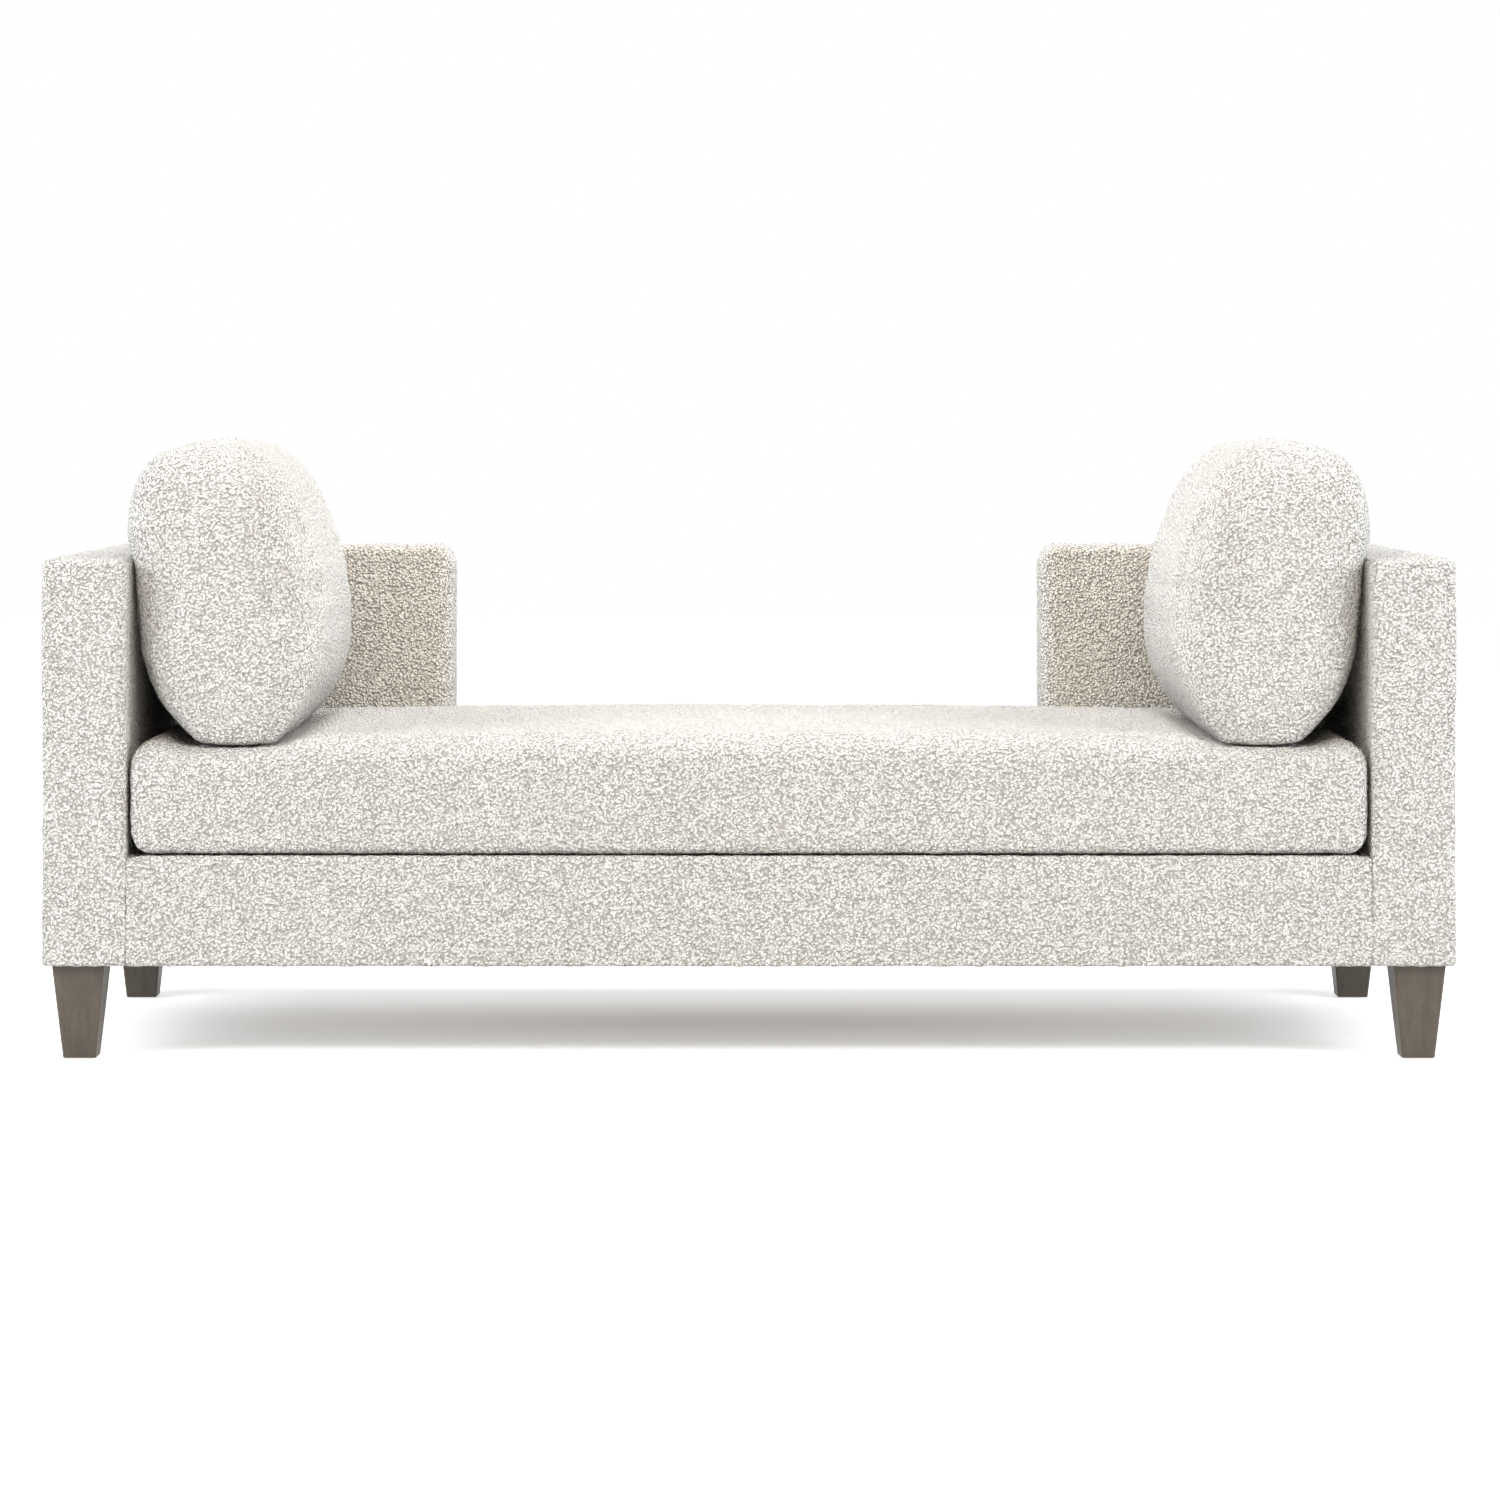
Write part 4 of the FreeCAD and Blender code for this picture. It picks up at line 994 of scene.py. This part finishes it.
class CHAISE_OT_pillows(ChaiseOperator, bpy.types.Operator):
    """Makes the two plump box pillows that lean on the arms"""

    bl_idname = "chaise.pillows"
    bl_label = "Pillows"

    def execute(self, context):
        surface = pillow_surface(context.scene.chaise_sizes.pillow_dome)
        obj = link_mesh("left_pillow_boucle", *surface)
        weld(obj, 0.0001)
        points = coordinates(obj)
        points[:, 2] = np.maximum(points[:, 2], PILLOW_FLOOR)
        set_coordinates(obj, points)
        inflate(obj, 0.007, 4.0, 0.005)
        roughen(obj, 67, (), sway=0.0018)
        points = coordinates(obj)
        points[:, 2] = np.maximum(points[:, 2], PILLOW_FLOOR)
        over = smooth(BODY_HIGH[2] - 0.006, BODY_HIGH[2] + 0.012, points[:, 2])
        points[:, 0] = np.maximum(points[:, 0], -BODY_LOW[0] + 0.0006 - 0.02 * over)
        set_coordinates(obj, points)
        other = mirrored(obj, "right_pillow_boucle")
        dress(obj, "boucle", "left_pillow", "left_pillow_cover", "left_pillow_core")
        dress(other, "boucle", "right_pillow", "right_pillow_cover", "right_pillow_core")
        return {"FINISHED"}


def stretched_sheet(name, low, high, columns, edges, level, cut, thickness):
    """A flat sheet with its notches cut out, on a grid that has lines at the notches' edges.

    level gives z from x and y, and cut says of the middle of each cell whether it is cut away.
    """
    lines = []
    for axis, count in ((0, columns), (1, 60)):
        even = np.linspace(low[axis], high[axis], count)
        inside = [value for value in edges[axis] if low[axis] < value < high[axis]]
        lines.append(np.unique(np.round(np.concatenate([even, inside]), 6)))
    gx, gy = np.meshgrid(*lines, indexing="ij")
    cx, cy = np.meshgrid(*((line[:-1] + line[1:]) / 2 for line in lines), indexing="ij")
    points = np.stack([gx, gy, level(gx, gy)], -1).reshape(-1, 3)
    obj = link_mesh(name, points, grid_faces(*gx.shape, keep=~cut(cx, cy)))
    solid = obj.modifiers.new("thickness", "SOLIDIFY")
    solid.thickness = thickness
    solid.offset = 0.0
    apply_modifier(obj, "thickness")
    return obj


def waves(x, y, size, seed):
    """Waviness over a plane."""
    points = np.column_stack([x.ravel(), y.ravel(), np.zeros(x.size)])
    return waviness(points, size, seed).reshape(x.shape)


class CHAISE_OT_deck_cloth(ChaiseOperator, bpy.types.Operator):
    """Makes the deck cloth under the seat cushion, with its notch for the ledge"""

    bl_idname = "chaise.deck_cloth"
    bl_label = "Deck cloth"

    def execute(self, context):
        low, high = corners("deck_cloth")
        end = RETURN_LOW[0]
        ledge = LEDGE_LOW[1] - 0.0003
        deck = stretched_sheet(
            "deck_cloth_sheet", low, high, 160, ([-end, end], [ledge]),
            level=lambda x, y: high[2] - 0.0002 - 0.0006 * (waves(x, y, 0.12, 5) + 1),
            cut=lambda x, y: (np.abs(x) < end) & (y > ledge), thickness=0.0015,
        )
        dress(deck, "deck_cloth", "frame", "deck_cloth")
        return {"FINISHED"}


class CHAISE_OT_dust_cover(ChaiseOperator, bpy.types.Operator):
    """Makes the dust cover under the body, with its notches for the legs"""

    bl_idname = "chaise.dust_cover"
    bl_label = "Dust cover"

    def execute(self, context):
        low, high = corners("dust_cover")
        room = 0.001
        legs = ("front_left_leg", "front_right_leg", "rear_left_leg", "rear_right_leg")
        notches = [(a - room, b + room) for a, b in map(corners, legs)]
        edges = [[corner[axis] for notch in notches for corner in notch] for axis in (0, 1)]

        def level(x, y):
            """A sag of 3.5 mm in the middle, with slow waves of 1.5 mm."""
            inner = (1 - (x / high[0]) ** 2) * (1 - (y / high[1]) ** 2)
            return low[2] + 0.0004 - inner * (0.0035 + 0.0015 * waves(x * 2.0, y, 0.16, 9))

        def cut(x, y):
            """Whether a place lies in the notch of a leg."""
            inside = [(x > a[0]) & (x < b[0]) & (y > a[1]) & (y < b[1]) for a, b in notches]
            return np.any(inside, axis=0)

        dust = stretched_sheet("dust_cover_sheet", low, high, 150, edges, level, cut, thickness=0.0006)
        dress(dust, "dust_cloth", "frame", "dust_cover")
        wide, deep = high[:2] - low[:2]
        area = float(wide * deep)
        for a, b in notches:
            area -= float(np.prod(np.minimum(b, high)[:2] - np.maximum(a, low)[:2]))
        return {"FINISHED"}


# Stage

WORLD_LIGHT = 0.0  # the lamps alone light the object
LENS = 101.1
LENS_SHIFT = (0.0133, -0.2203)
CAMERA_PLACE = (-0.0286, -6.769, 0.968)
FLOOR_REACH = 14
FLOOR_DROP = 0.0002
WARM, PLAIN, COOL = (1.0, 0.92, 0.83), (0.99, 0.995, 1.0), (0.90, 0.945, 1.0)
LAMPS = (
    ("top_soft", (0, 0.25, 2.1), (0, 0.25, 0), (1.2, 1.6), 35.0, PLAIN),
    ("front_soft", (0, -2.3, 2.1), (0, -0.2, 0.4), (2.4, 0.8), 54.0, WARM),
    ("front_low", (0, -3.2, 0.7), (0, -0.3, 0.4), (3.0, 0.7), 6.0, WARM),
    ("left_wing", (-3.0, -1.5, 1.6), (-0.8, -0.3, 0.45), (1.4, 1.2), 72.0, COOL),
    ("right_wing", (3.0, -1.5, 1.6), (0.8, -0.3, 0.45), (1.4, 1.2), 72.0, COOL),
    ("left_near", (-1.8, -0.05, 1.75), (0.7, 0, 0.6), (0.9, 0.9), 14.0, PLAIN),
    ("right_near", (1.8, -0.05, 1.75), (-0.7, 0, 0.6), (0.9, 0.9), 14.0, PLAIN),
    ("back_wall", (0, 4.5, 1.6), (0, 0, 0.5), (9.0, 3.0), 180.0, PLAIN),
)


def area_lamp(name, place, target, size, power, color):
    """A soft rectangular lamp that looks at a point."""
    data = bpy.data.lights.new(name, "AREA")
    data.shape = "RECTANGLE"
    data.size, data.size_y = size
    data.energy = power
    data.color = color
    obj = bpy.data.objects.new(name, data)
    bpy.context.collection.objects.link(obj)
    obj.location = place
    obj.rotation_euler = (Vector(target) - Vector(place)).to_track_quat("-Z", "Y").to_euler()


def floor_material():
    """A white floor: it reflects as a pale floor does, and the camera sees it white but for shadows.

    What the camera sees is brightened by a painted glow, a little more towards the body's outline,
    so that the shadow is painted lighter where it thins out, and fully from 1.4 to 3 m away.
    """
    tree = Finish("studio_floor")
    pale = tree.mix(tree.noise(3.0, 1.0), (0.84, 0.84, 0.835), (0.86, 0.86, 0.855))
    tree.finish(pale, 0.9, Specular_IOR_Level=0.0)
    # Painted light: an emission that only the camera sees, lightening the shadow towards the body's
    # outline.
    under = tree.length(tree.stretched(0.55, 2.4, 0.0))
    painted_glow = tree.mix(under.ramp(0.12, 1.0), (0.365, 0.345, 0.325), (0.645, 0.645, 0.64))
    painted_glow = tree.mix(tree.length(tree.place).ramp(1.4, 3.0), painted_glow, (1.0, 1.0, 1.0))
    bright = tree.add("ShaderNodeEmission", {}, {"Color": painted_glow, "Strength": 1.0})
    both = tree.add("ShaderNodeAddShader", {}, {0: tree.surface, 1: bright})
    rays = tree.background_rays()
    tree.show(tree.add("ShaderNodeMixShader", {}, {0: rays, 1: tree.surface, 2: both}))
    return tree.material


class CHAISE_OT_stage(ChaiseOperator, bpy.types.Operator):
    """Sets the pale floor, the soft studio lamps and the camera"""

    bl_idname = "chaise.stage"
    bl_label = "Stage"

    def execute(self, context):
        scene = context.scene
        lens = bpy.data.cameras.new("camera")
        lens.sensor_width = 36.0
        lens.lens = LENS
        lens.shift_x, lens.shift_y = LENS_SHIFT
        lens.clip_end = 60.0
        camera = bpy.data.objects.new("camera", lens)
        bpy.context.collection.objects.link(camera)
        camera.location = CAMERA_PLACE
        camera.rotation_euler = (math.pi / 2, 0, 0)
        scene.camera = camera

        side = np.linspace(-FLOOR_REACH, FLOOR_REACH, 8)
        gx, gy = np.meshgrid(side, side, indexing="ij")
        points = np.stack([gx, gy, np.full(gx.shape, -FLOOR_DROP)], -1).reshape(-1, 3)
        floor = link_mesh("studio_floor", points, grid_faces(8, 8))
        floor.data.materials.append(floor_material())

        scene.world = bpy.data.worlds.new("studio")
        tree = Tree(scene.world, "ShaderNodeOutputWorld")
        dark, white = (
            tree.add("ShaderNodeBackground", {}, {"Color": (1.0, 1.0, 1.0, 1), "Strength": light})
            for light in (WORLD_LIGHT, 1.0)
        )
        rays = tree.background_rays()
        tree.show(tree.add("ShaderNodeMixShader", {}, {0: rays, 1: dark, 2: white}))
        for lamp in LAMPS:
            area_lamp(*lamp)
        scene.view_settings.view_transform = "Standard"
        return {"FINISHED"}


class CHAISE_PT_panel(bpy.types.Panel):
    """Lists the pieces of the chaise longue"""

    bl_idname = "CHAISE_PT_panel"
    bl_label = "Chaise longue"
    bl_space_type = "VIEW_3D"
    bl_region_type = "UI"
    bl_category = "Chaise"

    def draw(self, context):
        for piece in PIECES:
            self.layout.operator(piece.bl_idname)
        for group in (context.scene.chaise_sizes, context.scene.chaise_look):
            box = self.layout.box()
            for name in group.__annotations__:
                box.prop(group, name)


PIECES = (
    CHAISE_OT_frame_finish,
    CHAISE_OT_arms,
    CHAISE_OT_returns,
    CHAISE_OT_rails,
    CHAISE_OT_seat_cushion,
    CHAISE_OT_pillows,
    CHAISE_OT_deck_cloth,
    CHAISE_OT_dust_cover,
    CHAISE_OT_stage,
)
CLASSES = (ChaiseSizes, ChaiseLook) + PIECES + (CHAISE_PT_panel,)


def register():
    """Registers every class and the two groups of settings."""
    for cls in CLASSES:
        bpy.utils.register_class(cls)
    bpy.types.Scene.chaise_sizes = bpy.props.PointerProperty(type=ChaiseSizes)
    bpy.types.Scene.chaise_look = bpy.props.PointerProperty(type=ChaiseLook)


def unregister():
    """Takes back what register added."""
    del bpy.types.Scene.chaise_look
    del bpy.types.Scene.chaise_sizes
    for cls in reversed(CLASSES):
        bpy.utils.unregister_class(cls)


def main():
    """Makes every piece through its operator."""
    register()
    for piece in PIECES:
        group, name = piece.bl_idname.split(".")
        getattr(getattr(bpy.ops, group), name)()


if __name__ == "__main__":
    main()
